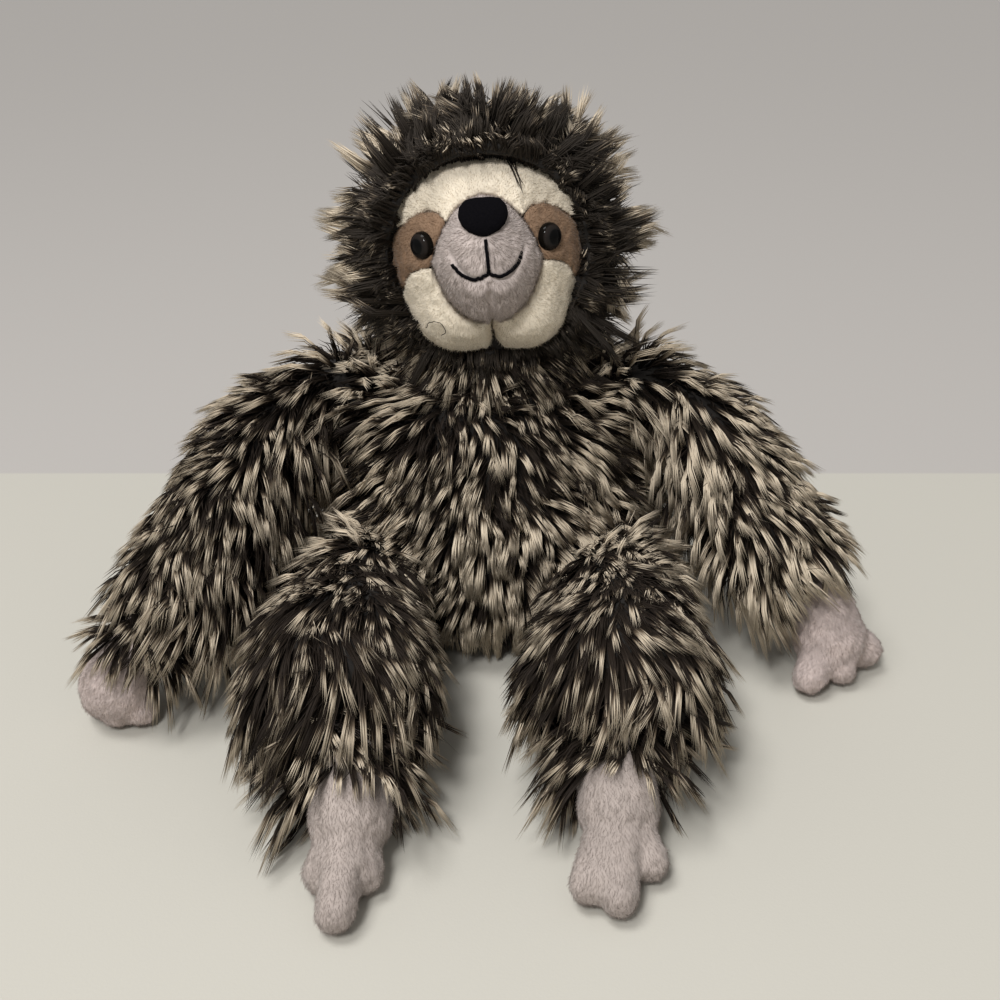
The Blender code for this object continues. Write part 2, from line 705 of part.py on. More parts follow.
def build_head(neck_seat):
    """Fur hood, stuffing, sewn face panels, muzzle, nose, mouth and eyes."""
    eyes = [build_eye(1, "left"), build_eye(-1, "right")]
    seats = [eye[2] for eye in eyes]
    pockets = [eye[3] for eye in eyes]

    rim = FACE_HALF_WIDTH + SEAM_GAP
    rim_height = HOOD_RIM_SHARE * FACE_BALL_RADIUS
    parting = [(0, HOOD_PARTING_REACH), (rim + HOOD_PARTING_FLARE, HOOD_PARTING_REACH),
               (rim, rim_height), (rim, 0), (0, 0)]
    opening = turned("face_opening", parting, HEAD_STEPS)
    opening.data.transform(FACE)

    core = ball("head_core", HEAD_CENTRE, HEAD_CORE_RADIUS - STUFFING_GAP, HEAD_STEPS)
    stuffing = cut(as_part(core, "head_stuffing", "stuffing"), opening)
    face_ball = ball("face_core", FACE_CENTRE, FACE_CORE_RADIUS - STUFFING_GAP, HEAD_STEPS)
    boolean(stuffing, face_ball, "UNION")
    cut(stuffing, neck_seat, *pockets)

    hood = as_part(ball("hood_shape", HEAD_CENTRE, HEAD_RADIUS, HEAD_STEPS), "hood_fur_cover", "fur")
    cut(hood, ball("head_hollow", HEAD_CENTRE, HEAD_CORE_RADIUS, HEAD_STEPS),
        ball("face_hollow", FACE_CENTRE, FACE_CORE_RADIUS, HEAD_STEPS), opening, neck_seat)

    muzzle_room = muzzle_form("muzzle_room", -SEAM_GAP)
    face_core = ball("face_core_room", FACE_CENTRE, FACE_CORE_RADIUS, HEAD_STEPS)
    muzzle = as_part(muzzle_form("muzzle_shape", 0), "muzzle_cover", "muzzle")
    cut(muzzle, muzzle_form("muzzle_hollow", SHORT_PLUSH), face_core, *seats)
    filling = as_part(muzzle_form("muzzle_core", SHORT_PLUSH + STUFFING_GAP, SMALL_STEPS),
                      "muzzle_stuffing", "stuffing")
    cut(filling, face_core)

    reach = FACE_BALL_RADIUS + CUT_OVERRUN
    rooms = {side: outline_prism("patch_room_" + str(side), patch_outline(side, SEAM_GAP), reach)
             for side in (1, -1)}
    patches, cheeks = [], []
    for side, name, seat in ((1, "left", seats[0]), (-1, "right", seats[1])):
        patch = as_part(face_cap("patch_cap"), "eye_patch_" + name, "brown")
        boolean(patch, outline_prism("patch_prism_" + name, patch_outline(side, 0), reach), "INTERSECT")
        cut(patch, muzzle_room, seat)
        patches.append(patch)
        low = Vector((SEAM_GAP / 2, -reach, 0))
        high = Vector((reach, EYE_UP, reach))
        if side < 0:
            low.x, high.x = -high.x, -low.x
        cheek = as_part(face_cap("cheek_cap"), "cheek_" + name, "cream")
        boolean(cheek, face_block("cheek_room_" + name, low, high), "INTERSECT")
        cut(cheek, rooms[side], muzzle_room, seat, neck_seat)
        cheeks.append(cheek)
    forehead = as_part(face_cap("forehead_cap"), "forehead_panel", "cream")
    corner = Vector((reach, reach, reach))
    forehead_room = face_block("forehead_room", Vector((-reach, EYE_UP, 0)), corner)
    boolean(forehead, forehead_room, "INTERSECT")
    cut(forehead, rooms[1], rooms[-1], muzzle_room, *seats)

    pieces = [hood, stuffing, forehead, muzzle, filling, build_nose(), build_mouth()]
    pieces += patches + cheeks
    for eye in eyes:
        pieces += eye[:2]
    return pieces


# Arms and legs

def build_sleeve(name, path, swell, sizes, joint_radius, setback):
    """A fur sleeve with its stuffing; both end in a round seat for the paw or foot."""
    shape = tube(name + "_shape", sleeve_stations(path, swell, *sizes, 0, setback), TUBE_BEVEL_STEPS)
    sleeve = as_part(shape, name + "_fur_sleeve", "fur")
    hollow_stations = sleeve_stations(path, swell, *sizes, BODY_PILE_COVER, setback)
    last, last_radius = hollow_stations[-1]
    along = (last - hollow_stations[-2][0]).normalized()
    hollow_stations.append((last + along * (setback + joint_radius), last_radius))
    hollow = tube(name + "_hollow", hollow_stations, TUBE_BEVEL_STEPS)
    core_stations = sleeve_stations(path, swell, *sizes, BODY_PILE_COVER + STUFFING_GAP, setback)
    core = tube(name + "_core", core_stations, TUBE_BEVEL_STEPS)
    stuffing = as_part(core, name + "_stuffing", "stuffing")
    seat = seat_ball(name + "_end_seat", path[-1], joint_radius)
    cut(sleeve, hollow, seat)
    cut(stuffing, seat)
    return [sleeve, stuffing]


def build_end(name, filling_name, colour, pivot, root_radius, middle, middle_radius, lobes):
    """A short plush paw or foot: one cover with its fingers or toes, and the stuffing inside."""
    shape = capsule(name + "_shape", pivot, middle, root_radius, middle_radius, TUBE_BEVEL_STEPS)
    cover = as_part(shape, name, colour)
    for index, (tip, radius) in enumerate(lobes):
        lobe_name = name + "_lobe_" + str(index)
        lobe = capsule(lobe_name, middle, tip, radius * LOBE_ROOT_SHARE, radius, TOE_BEVEL_STEPS)
        boolean(cover, lobe, "UNION")
    along = (middle - pivot).normalized()
    shapes = []
    for inset, overrun in ((SHORT_PLUSH, CUT_OVERRUN + root_radius), (SHORT_PLUSH + STUFFING_GAP, 0)):
        neck = PAW_CAVITY_NECK - inset + SHORT_PLUSH
        back = math.sqrt(root_radius ** 2 - neck ** 2)
        stations = [(pivot - along * max(back, overrun), neck), (pivot, neck)]
        full = middle_radius - inset
        behind = middle - along * full * math.cos(CAVITY_TURN)
        stations.append((behind, full * math.sin(CAVITY_TURN)))
        stations.append((middle, full))
        stations += reversed(round_end(middle, along, full))
        shapes.append(tube(name + "_inner", stations, TOE_BEVEL_STEPS))
    cut(cover, shapes[0])
    stuffing = as_part(shapes[1], filling_name, "stuffing")
    return [cover, stuffing]


def shoulder(side):
    """The arm's pivot, a little outside the torso's side."""
    return Vector((side * SHOULDER_OUT_SHARE * TORSO_RADIUS, -SHOULDER_FORWARD_SHARE * TORSO_RADIUS,
                   SHOULDER_HEIGHT_SHARE * TORSO_HEIGHT))


def hip(side):
    """The leg's pivot, in front of the torso's side."""
    return Vector((side * HIP_OUT_SHARE * TORSO_RADIUS, -HIP_FORWARD_SHARE * TORSO_RADIUS, HIP_HEIGHT))


def build_arm(side, name, path_shares, paw_shares):
    """One arm from its root to its fingertips, with the two pivots it turns on."""
    pivot = shoulder(side)
    heights = [pivot.z - (pivot.z - WRIST_HEIGHT) * share[2] for share in path_shares]
    path = limb_path(pivot, side, path_shares, ARM_LENGTH, heights)
    wrist = path[-1]
    sizes = (ARM_ROOT_RADIUS, ARM_RADIUS, ARM_MOUTH_RADIUS)
    arm = build_sleeve(name + "_arm", path, ARM_SWELL_SHARES, sizes, WRIST_BALL_RADIUS, WRIST_SETBACK)
    palm = floor_point(wrist, side, paw_shares[0], PAW_LENGTH, PALM_RADIUS)
    radii = (THUMB_RADIUS, FINGER_RADIUS, FINGER_RADIUS)
    fingers = [(floor_point(wrist, side, share, PAW_LENGTH, radius), radius)
               for share, radius in zip(paw_shares[1:], radii)]
    paw = build_end(name + "_paw_cover", name + "_paw_stuffing", "paw", wrist, WRIST_BALL_RADIUS,
                    palm, PALM_RADIUS, fingers)
    return arm, paw, pivot, wrist


def build_leg(side, name, path_shares, foot_shares):
    """One leg from its root to its toes, with the two pivots it turns on."""
    pivot = hip(side)
    knee = LEG_RADIUS + LEG_FLOOR_GAP
    heights = (HIP_HEIGHT, knee, knee - (knee - ANKLE_HEIGHT) * LEG_DROP_SHARE, ANKLE_HEIGHT)
    path = limb_path(pivot, side, path_shares, LEG_LENGTH, heights)
    ankle = path[-1]
    sizes = (LEG_ROOT_RADIUS, LEG_RADIUS, LEG_MOUTH_RADIUS)
    leg = build_sleeve(name + "_leg", path, LEG_SWELL_SHARES, sizes, ANKLE_BALL_RADIUS, ANKLE_SETBACK)
    instep = floor_point(ankle, side, foot_shares[0], FOOT_LENGTH, FOOT_RADIUS)
    toes = [(floor_point(ankle, side, share, FOOT_LENGTH, TOE_RADIUS), TOE_RADIUS)
            for share in foot_shares[1:]]
    foot = build_end(name + "_foot_cover", name + "_foot_stuffing", "foot", ankle, ANKLE_BALL_RADIUS,
                     instep, FOOT_RADIUS, toes)
    return leg, foot, pivot, ankle


def hang_on(name, pivot, pieces, parent=None):
    """Parents pieces to an empty that stands on their joint's axis, and leaves them in place."""
    empty = bpy.data.objects.new(name, None)
    PARTS.objects.link(empty)
    empty.location = pivot
    bpy.context.view_layer.update()
    if parent:
        empty.parent = parent
        empty.matrix_parent_inverse = parent.matrix_world.inverted()
        bpy.context.view_layer.update()
    for piece in pieces:
        place = piece.matrix_world.copy()
        piece.parent = empty
        piece.matrix_parent_inverse = empty.matrix_world.inverted()
        piece.matrix_world = place
    bpy.context.view_layer.update()
    return empty


def main():
    neck_seat = seat_ball("neck_seat", NECK_CENTRE, NECK_BALL_RADIUS)
    limb_seats = []
    for side in (1, -1):
        limb_seats.append(seat_ball("shoulder_seat_" + str(side), shoulder(side), ARM_ROOT_RADIUS))
        limb_seats.append(seat_ball("hip_seat_" + str(side), hip(side), LEG_ROOT_RADIUS))
    reach = TORSO_RADIUS + CUT_OVERRUN
    bpy.ops.mesh.primitive_cube_add(size=1, location=(0, 0, -reach / 2))
    floor = bpy.context.object
    floor.name = "floor_cut"
    floor.data.transform(Matrix.Diagonal((2 * reach, 2 * reach, reach, 1)))
    floor.hide_render = True
    floor.display_type = "WIRE"

    build_torso([neck_seat] + limb_seats, floor)
    neck = ball("neck_shape", NECK_CENTRE, NECK_BALL_RADIUS, SEAT_STEPS)
    neck = as_part(neck, "neck_fur_collar", "fur")
    neck_pivot = hang_on("neck_nod_pivot", NECK_CENTRE, [neck])
    hang_on("head_turn_pivot", NECK_CENTRE, build_head(neck_seat), neck_pivot)
    left_limbs = (build_arm(1, "left", LEFT_ARM_PATH_SHARES, LEFT_PAW_SHARES),
                  build_leg(1, "left", LEFT_LEG_PATH_SHARES, LEFT_FOOT_SHARES))
    right_limbs = (build_arm(-1, "right", RIGHT_ARM_PATH_SHARES, RIGHT_PAW_SHARES),
                   build_leg(-1, "right", RIGHT_LEG_PATH_SHARES, RIGHT_FOOT_SHARES))
    for name, (arm_set, leg_set) in (("left", left_limbs), ("right", right_limbs)):
        arm, paw, pivot, wrist = arm_set
        arm_pivot = hang_on(name + "_shoulder_pivot", pivot, arm)
        hang_on(name + "_wrist_pivot", wrist, paw, arm_pivot)
        leg, foot, pivot, ankle = leg_set
        leg_pivot = hang_on(name + "_hip_pivot", pivot, leg)
        hang_on(name + "_ankle_pivot", ankle, foot, leg_pivot)


main()
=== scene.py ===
# %% [markdown]
# # A plush sloth with long combed fur
#
# The real toy is a stuffed sloth that sits on its seat pad. A long-pile fur cloth covers the body,
# the limbs and the back of the head. The face, the paws and the feet are short plush. The frame is
# packed beforehand: this file dresses it, and every soft solid of the frame is stood for by a
# softer piece made here.
#
# All lengths are in metres. The toy faces -Y, up is +Z and its own left side is at +X.

# %% Load the frame
import json
import math
from collections import namedtuple

import bmesh
import bpy
import numpy as np
from mathutils import Matrix, Vector
from mathutils.bvhtree import BVHTree


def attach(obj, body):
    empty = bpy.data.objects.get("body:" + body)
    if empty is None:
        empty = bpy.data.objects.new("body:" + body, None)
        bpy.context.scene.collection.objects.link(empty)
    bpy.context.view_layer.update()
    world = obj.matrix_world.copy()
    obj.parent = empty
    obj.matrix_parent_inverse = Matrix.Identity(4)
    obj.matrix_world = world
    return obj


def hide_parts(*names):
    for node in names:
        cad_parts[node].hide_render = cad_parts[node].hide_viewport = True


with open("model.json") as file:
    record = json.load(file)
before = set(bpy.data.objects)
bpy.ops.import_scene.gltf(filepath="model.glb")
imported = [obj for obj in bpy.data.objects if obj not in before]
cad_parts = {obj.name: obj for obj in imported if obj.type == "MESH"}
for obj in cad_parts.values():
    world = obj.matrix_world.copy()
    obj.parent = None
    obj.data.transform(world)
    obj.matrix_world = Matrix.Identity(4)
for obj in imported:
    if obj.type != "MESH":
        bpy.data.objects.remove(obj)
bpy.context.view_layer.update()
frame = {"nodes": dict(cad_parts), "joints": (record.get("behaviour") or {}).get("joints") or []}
joints = {joint["name"]: Vector(joint["pos_m"]) for joint in frame["joints"]}

# %% [markdown]
# ## The view
#
# The photograph looks down on the toy from a little above its head. The tilt and the lens were
# found from the floor line and from the places of the paws and feet on the floor.

# %% Camera
CAMERA_PLACE = (0.0046, -0.457, 0.285)
CAMERA_TILT = math.radians(28)      # below level
FOCAL_SHARE = 1.178                 # focal length over the width of the picture
SENSOR = 36.0

camera = bpy.data.objects.new("camera", bpy.data.cameras.new("camera"))
camera.data.sensor_width = SENSOR
camera.data.lens = SENSOR * FOCAL_SHARE
camera.data.clip_start = 0.01
camera.location = CAMERA_PLACE
camera.rotation_euler = (math.pi / 2 - CAMERA_TILT, 0, 0)
bpy.context.scene.collection.objects.link(camera)
bpy.context.scene.camera = camera
print("camera lens", round(camera.data.lens, 2), "mm")

# %% Small helpers for operators
def only(thing):
    """Leaves one object selected and active, in object mode."""
    if bpy.context.object and bpy.context.object.mode != "OBJECT":
        bpy.ops.object.mode_set(mode="OBJECT")
    bpy.ops.object.select_all(action="DESELECT")
    thing.select_set(True)
    bpy.context.view_layer.objects.active = thing
    return thing


def settle(thing):
    """Applies every modifier and the object's own place, so that its place is in its mesh."""
    only(thing)
    for step in list(thing.modifiers):
        bpy.ops.object.modifier_apply(modifier=step.name)
    bpy.ops.object.transform_apply(location=True, rotation=True, scale=True)
    return thing


def material(name, roughness, specular=0.5):
    """A new material, its node tree and its shader."""
    made = bpy.data.materials.new(name)
    made.use_nodes = True
    shader = made.node_tree.nodes["Principled BSDF"]
    shader.inputs["Roughness"].default_value = roughness
    shader.inputs["Specular IOR Level"].default_value = specular
    return made, made.node_tree, shader


def wear(thing, made):
    """Gives a piece one material."""
    thing.data.materials.clear()
    thing.data.materials.append(made)
    return thing


def join_nodes(tree, *pairs):
    """Links output sockets to input sockets."""
    for source, target in pairs:
        tree.links.new(source, target)


def add_node(tree, kind, **inputs):
    """A new shader node with some inputs set. An underscore stands for a space in an input's name."""
    made = tree.nodes.new("ShaderNode" + kind)
    for name, value in inputs.items():
        made.inputs[name.replace("_", " ")].default_value = value
    return made


def ramp_node(tree, *stops):
    """A colour ramp with these places and colours. The first two are the ramp's own two stops."""
    made = add_node(tree, "ValToRGB")
    for index, (place, colour) in enumerate(stops):
        if index < 2:
            stop = made.color_ramp.elements[index]
            stop.position = place
        else:
            stop = made.color_ramp.elements.new(place)
        stop.color = (*colour, 1)
    return made


def bump_from(tree, shader, height, strength, distance):
    """A small bump that follows the value of one socket."""
    bump = add_node(tree, "Bump", Strength=strength, Distance=distance)
    join_nodes(tree, (height, bump.inputs["Height"]), (bump.outputs["Normal"], shader.inputs["Normal"]))


def two_tone(name, texture, scale, dark, light, roughness, specular=0.5):
    """A material that wavers between two colours, its node tree, its shader and its texture."""
    made, tree, shader = material(name, roughness, specular)
    place = add_node(tree, "TexCoord")
    grain = add_node(tree, texture, Scale=scale)
    shade = ramp_node(tree, (0, dark), (1, light))
    join_nodes(tree, (place.outputs["Object"], grain.inputs["Vector"]),
               (grain.outputs[0], shade.inputs["Fac"]),
               (shade.outputs["Color"], shader.inputs["Base Color"]))
    return made, tree, shader, grain


# %% [markdown]
# ## Floor and light
#
# The toy sits on a pale cloth in front of a grey wall. One plain sheet is enough here: it is pale
# under the toy and turns grey behind it, where the wall begins in the photograph. A wide, soft
# sun high on the picture's left throws the short shadows to the right, and a weak lamp fills the
# front.

# %% Floor and lamps
FLOOR_PALE = (0.480, 0.460, 0.408)
FLOOR_SIZE = 6
FLOOR_LEVEL = -0.0002
WALL_GREY = (0.425, 0.402, 0.380)
WALL_LINE = 0.110                   # where the sheet turns grey, along Y
WALL_BLUR = 0.001
WEAVE_SCALE = 900

WORLD = bpy.context.scene.world or bpy.data.worlds.new("world")
bpy.context.scene.world = WORLD
bpy.context.scene.view_settings.view_transform = "Standard"
bpy.ops.mesh.primitive_plane_add(size=FLOOR_SIZE, location=(0, 0, FLOOR_LEVEL))
floor = bpy.context.object
floor.name = "floor"
cloth, tree, shader = material("floor_cloth", 0.9)
place = add_node(tree, "TexCoord")
split = add_node(tree, "SeparateXYZ")
edge = add_node(tree, "MapRange", From_Min=WALL_LINE - WALL_BLUR, From_Max=WALL_LINE + WALL_BLUR)
tones = add_node(tree, "Mix")
tones.data_type = "RGBA"
tones.inputs["A"].default_value = (*FLOOR_PALE, 1)
tones.inputs["B"].default_value = (*WALL_GREY, 1)
weave = add_node(tree, "TexNoise", Scale=WEAVE_SCALE)
join_nodes(tree, (place.outputs["Object"], split.inputs[0]),
           (split.outputs["Y"], edge.inputs["Value"]),
           (edge.outputs["Result"], tones.inputs["Factor"]),
           (tones.outputs["Result"], shader.inputs["Base Color"]),
           (place.outputs["Object"], weave.inputs["Vector"]))
bump_from(tree, shader, weave.outputs["Fac"], 0.08, 0.0005)
wear(floor, cloth)

KEY_POWER = 1.75
KEY_WIDTH = math.radians(24)
KEY_WAY = Vector((0.34, 0.06, -1.0))
FILL_POWER = 11
FILL_SIZE = 0.26
FILL_PLACE = Vector((-0.30, -0.90, 1.10))
FILL_AIM = Vector((0, 0, 0.12))
SKY = (1, 0.99, 0.97, 1)
SKY_POWER = 0.38


def lamp(name, kind, power, way, place=(0, 0, 0)):
    """A lamp that shines one way, and its light."""
    light = bpy.data.lights.new(name, kind)
    light.energy = power
    thing = bpy.data.objects.new(name, light)
    thing.location = place
    thing.rotation_euler = way.to_track_quat("-Z", "Y").to_euler()
    bpy.context.scene.collection.objects.link(thing)
    return light


lamp("key", "SUN", KEY_POWER, KEY_WAY).angle = KEY_WIDTH
lamp("fill", "AREA", FILL_POWER, FILL_AIM - FILL_PLACE, FILL_PLACE).size = FILL_SIZE
WORLD.use_nodes = True
WORLD.node_tree.nodes["Background"].inputs["Color"].default_value = SKY
WORLD.node_tree.nodes["Background"].inputs["Strength"].default_value = SKY_POWER
print("floor and 2 lamps")

# %% [markdown]
# ## Skins
#
# A stuffed piece is one cloth bag pulled round by its filling. The frame holds the cover and the
# filling as separate solids. A skin is made by joining copies of both, wrapping them in one even
# net of small faces, and smoothing that net, which rounds off every hard edge as filling does.
# Under fur the skin is drawn in by most of the pile's height, because the pile grows out of it.

# %% Wrap frame solids in one soft skin
DRAW_STEPS = 4                      # a skin is drawn in bit by bit, and smoothed each time


def soften(skin, rounds):
    """Smooths a net, after any modifier that it still has."""
    smooth = skin.modifiers.new("soften", "SMOOTH")
    smooth.factor = 0.5
    smooth.iterations = rounds
    settle(skin)


def soft_skin(name, nodes, voxel, drawn_in=None, rounds=6, balls=()):
    """One closed, smooth skin round copies of some frame solids.

    drawn_in gives the depth to draw each point inward. Each of the balls, a place and a radius,
    fills a round seat, so that the skin runs on over it.
    """
    copies = []
    for solid in nodes:
        source = frame["nodes"][solid]
        copy = bpy.data.objects.new(name, source.data.copy())
        bpy.context.scene.collection.objects.link(copy)
        copies.append(copy)
    for place, radius in balls:
        bpy.ops.mesh.primitive_uv_sphere_add(segments=48, ring_count=24, radius=radius, location=place)
        copies.append(settle(bpy.context.object))
    only(copies[0])
    for copy in copies:
        copy.select_set(True)
    if len(copies) > 1:
        bpy.ops.object.join()
    skin = only(bpy.context.view_layer.objects.active)
    skin.name = name
    bpy.ops.object.mode_set(mode="EDIT")
    bpy.ops.mesh.select_all(action="SELECT")
    bpy.ops.mesh.remove_doubles(threshold=0.00001)
    bpy.ops.object.mode_set(mode="OBJECT")
    wrap = skin.modifiers.new("wrap", "REMESH")
    wrap.mode = "VOXEL"
    wrap.voxel_size = voxel
    wrap.adaptivity = 0
    soften(skin, rounds)
    keep_outside(skin)
    if drawn_in:
        for _ in range(DRAW_STEPS):
            for vert, normal in [(vert, vert.normal.copy()) for vert in skin.data.vertices]:
                vert.co -= normal * drawn_in(vert.co) / DRAW_STEPS
            soften(skin, 2)
    only(skin)
    bpy.ops.object.shade_smooth()
    print(name, len(skin.data.polygons), "faces")
    return skin


def keep_outside(skin):
    """Deletes closed pockets inside a skin and keeps its outer shell."""
    work = bmesh.new()
    work.from_mesh(skin.data)
    work.verts.ensure_lookup_table()
    seen, shells = set(), []
    for first in work.verts:
        if first in seen:
            continue
        shell, rest = [], [first]
        seen.add(first)
        while rest:
            vert = rest.pop()
            shell.append(vert)
            for edge in vert.link_edges:
                other = edge.other_vert(vert)
                if other not in seen:
                    seen.add(other)
                    rest.append(other)
        shells.append(shell)
    shells.sort(key=len)
    for shell in shells[:-1]:
        bmesh.ops.delete(work, geom=shell, context="VERTS")
    work.to_mesh(skin.data)
    work.free()


# %% [markdown]
# ## The pile
#
# Long-pile fur is thousands of fine fibres that stand in small flat tufts, like the tips of
# paintbrushes: dark at the root, beige over the last third, and blunt at the end. A texture can't
# show that outline, so each fibre here is real: a thin spike of three sides with its faces
# outward. No modelling operator combs a hundred thousand fibres, so the pile is the one thing
# that is made with arrays of numbers. Its colour comes from a small map: along a fibre from root
# to tip in one direction, and from dark fibre to light fibre in the other.

# %% Scatter tuft roots on a skin
TRIES = 4.5                         # points that are tried for each square of the spacing
CLOSEST = 0.72                      # the least distance between two roots, over the spacing
NEAR = [(x, y, z) for x in (-1, 0, 1) for y in (-1, 0, 1) for z in (-1, 0, 1)]


def skin_arrays(skin):
    """A skin's triangles as corner and normal arrays, and each triangle's area."""
    mesh = skin.data
    mesh.calc_loop_triangles()
    points = np.empty(len(mesh.vertices) * 3)
    mesh.vertices.foreach_get("co", points)
    points = points.reshape(-1, 3)
    normals = np.empty(len(mesh.vertices) * 3, np.float32)
    mesh.vertex_normals.foreach_get("vector", normals)
    normals = normals.reshape(-1, 3).astype(float)
    faces = np.empty(len(mesh.loop_triangles) * 3, np.int32)
    mesh.loop_triangles.foreach_get("vertices", faces)
    faces = faces.reshape(-1, 3)
    a, b, c = (points[faces[:, index]] for index in range(3))
    area = np.linalg.norm(np.cross(b - a, c - a), axis=1) / 2
    return points, normals, faces, area


def scatter(skin, spacing, allowed, random):
    """Points about one spacing apart on a skin, with their normals, where allowed says so."""
    points, normals, faces, area = skin_arrays(skin)
    tries = int(area.sum() / spacing ** 2 * TRIES)
    picked = random.choice(len(faces), tries, p=area / area.sum())
    share = random.random((tries, 2))
    over = share.sum(1) > 1
    share[over] = 1 - share[over]
    weights = np.stack([1 - share.sum(1), share[:, 0], share[:, 1]], 1)[:, :, None]
    spots = (points[faces[picked]] * weights).sum(1)
    ways = (normals[faces[picked]] * weights).sum(1)
    ways /= np.linalg.norm(ways, axis=1)[:, None]
    good = allowed(spots, ways)
    spots, ways = spots[good], ways[good]
    cells, kept = {}, []
    keys = np.floor(spots / spacing).astype(int)
    closest = (CLOSEST * spacing) ** 2
    for index, (x, y, z) in enumerate(keys.tolist()):
        gaps = (spots[index] - spots[other]
                for i, j, k in NEAR for other in cells.get((x + i, y + j, z + k), ()))
        if all(gap @ gap >= closest for gap in gaps):
            cells.setdefault((x, y, z), []).append(index)
            kept.append(index)
    return spots[kept], ways[kept]


def unit(vectors):
    """Vectors of length one."""
    return vectors / np.maximum(np.linalg.norm(vectors, axis=-1, keepdims=True), 1e-9)


def along_skin(flow, normals):
    """The part of each flow vector that lies along the skin, as a unit vector."""
    return unit(flow - normals * (flow * normals).sum(-1, keepdims=True))


def climb(values, start, span):
    """None up to a start, one from a span further on, and evenly between."""
    return np.clip((values - start) / span, 0, 1)


# %% Make fibres from their centre lines
FLOOR_CLEAR = 0.0004                # no fibre's line comes nearer to the floor than this
UPRIGHT = np.array([0.31, 0.17, 0.93])    # any direction that few fibres have
TONES = (0.03, 0.97)                # a fibre's place on the colour map stays inside its edges
STATIONS = (0.02, 0.98)
EDGE_TONE = 0.006                   # how far a fibre's three edges lie apart on the map


def fibre_mesh(name, lines, widths, tones, made):
    """A mesh of closed three-sided spikes. lines is fibres x stations x 3, root first."""
    lines = lines.copy()
    lines[..., 2] = np.maximum(lines[..., 2], FLOOR_CLEAR)
    count, stations = lines.shape[:2]
    rings = stations - 1
    ahead = unit(np.gradient(lines, axis=1))
    side = unit(np.cross(ahead, UPRIGHT))
    over = np.cross(ahead, side)
    turns = 2 * np.pi * np.arange(3) / 3
    corners = (lines[:, :rings, None, :]
               + widths[:, :rings, None, None] / 2
               * (side[:, :rings, None, :] * np.cos(turns)[None, None, :, None]
                  + over[:, :rings, None, :] * np.sin(turns)[None, None, :, None]))
    corners[..., 2] = np.maximum(corners[..., 2], FLOOR_CLEAR / 2)
    verts = np.concatenate([corners.reshape(count, rings * 3, 3), lines[:, -1:, :]], 1)
    per = rings * 3 + 1
    tip = rings * 3
    sides = []
    for ring in range(rings - 1):
        for k in range(3):
            a, b = ring * 3 + k, ring * 3 + (k + 1) % 3
            sides.append((a, b, b + 3))
            sides.append((a, b + 3, a + 3))
    for k in range(3):
        sides.append(((rings - 1) * 3 + k, (rings - 1) * 3 + (k + 1) % 3, tip))
    sides.append((2, 1, 0))
    sides = np.array(sides)
    tris = (sides[None] + np.arange(count)[:, None, None] * per).reshape(-1, 3)
    mesh = bpy.data.meshes.new(name)
    mesh.vertices.add(count * per)
    mesh.vertices.foreach_set("co", verts.reshape(-1).astype(np.float32))
    mesh.loops.add(len(tris) * 3)
    mesh.polygons.add(len(tris))
    mesh.loops.foreach_set("vertex_index", tris.reshape(-1).astype(np.int32))
    mesh.polygons.foreach_set("loop_start", np.arange(0, len(tris) * 3, 3, dtype=np.int32))
    mesh.update(calc_edges=True)
    station = np.append(np.repeat(np.arange(rings), 3), rings) / rings
    spread = np.append(np.tile([-1.0, 0.0, 1.0], rings), 0.0) * EDGE_TONE
    along = np.tile(np.clip(station, *STATIONS), (count, 1))
    across = np.clip(tones, *TONES)[:, None] + spread[None]
    uvs = np.stack([along.reshape(-1), across.reshape(-1)], 1)
    layer = mesh.uv_layers.new(name="OFBake")
    layer.uv.foreach_set("vector", uvs[tris.reshape(-1)].reshape(-1).astype(np.float32))
    mesh.shade_smooth()
    mesh.materials.append(made)
    thing = bpy.data.objects.new(name, mesh)
    bpy.context.scene.collection.objects.link(thing)
    print(name, count, "fibres,", len(tris), "triangles")
    return thing


# %% [markdown]
# A tuft is drawn as one bent line that starts out of the skin and lies down along the comb
# direction. Its fibres start in a small round patch, and are pulled together towards the line, so
# that the tuft is a flat brush about 3 mm wide with a blunt end. Between the tufts stands a
# shorter dark undercoat, and single stray hairs stand out of it.

# %% Comb tufts into fibres
SHARES = np.array([0.0, 0.62, 1.0])      # stations along a fibre
FIBRE_WIDTH = 0.00049
FIBRE_TAPER = np.array([0.9, 1.0, 0.0])
LOCK_TONE = 0.13                    # how much locks differ in tone and in length
LOCK_LENGTH = 0.10
COMB_JITTER = 0.26                  # how much tufts differ in comb direction, length and lift
LENGTHS = (0.78, 1.18)
LIFTS = (0.60, 1.40)
FOOT_FLATNESS = 0.6
STRETCH = (0.80, 0.99, 1.05)        # how much a tuft's own fibres differ: least, usual, most length
LOOSE = 0.0006                      # and how far their tips stray
FIBRE_TONE = 0.10
FIBRE_WIDTHS = (0.75, 1.2)
DOWN = np.array([0.0, 0.0, -1.0])

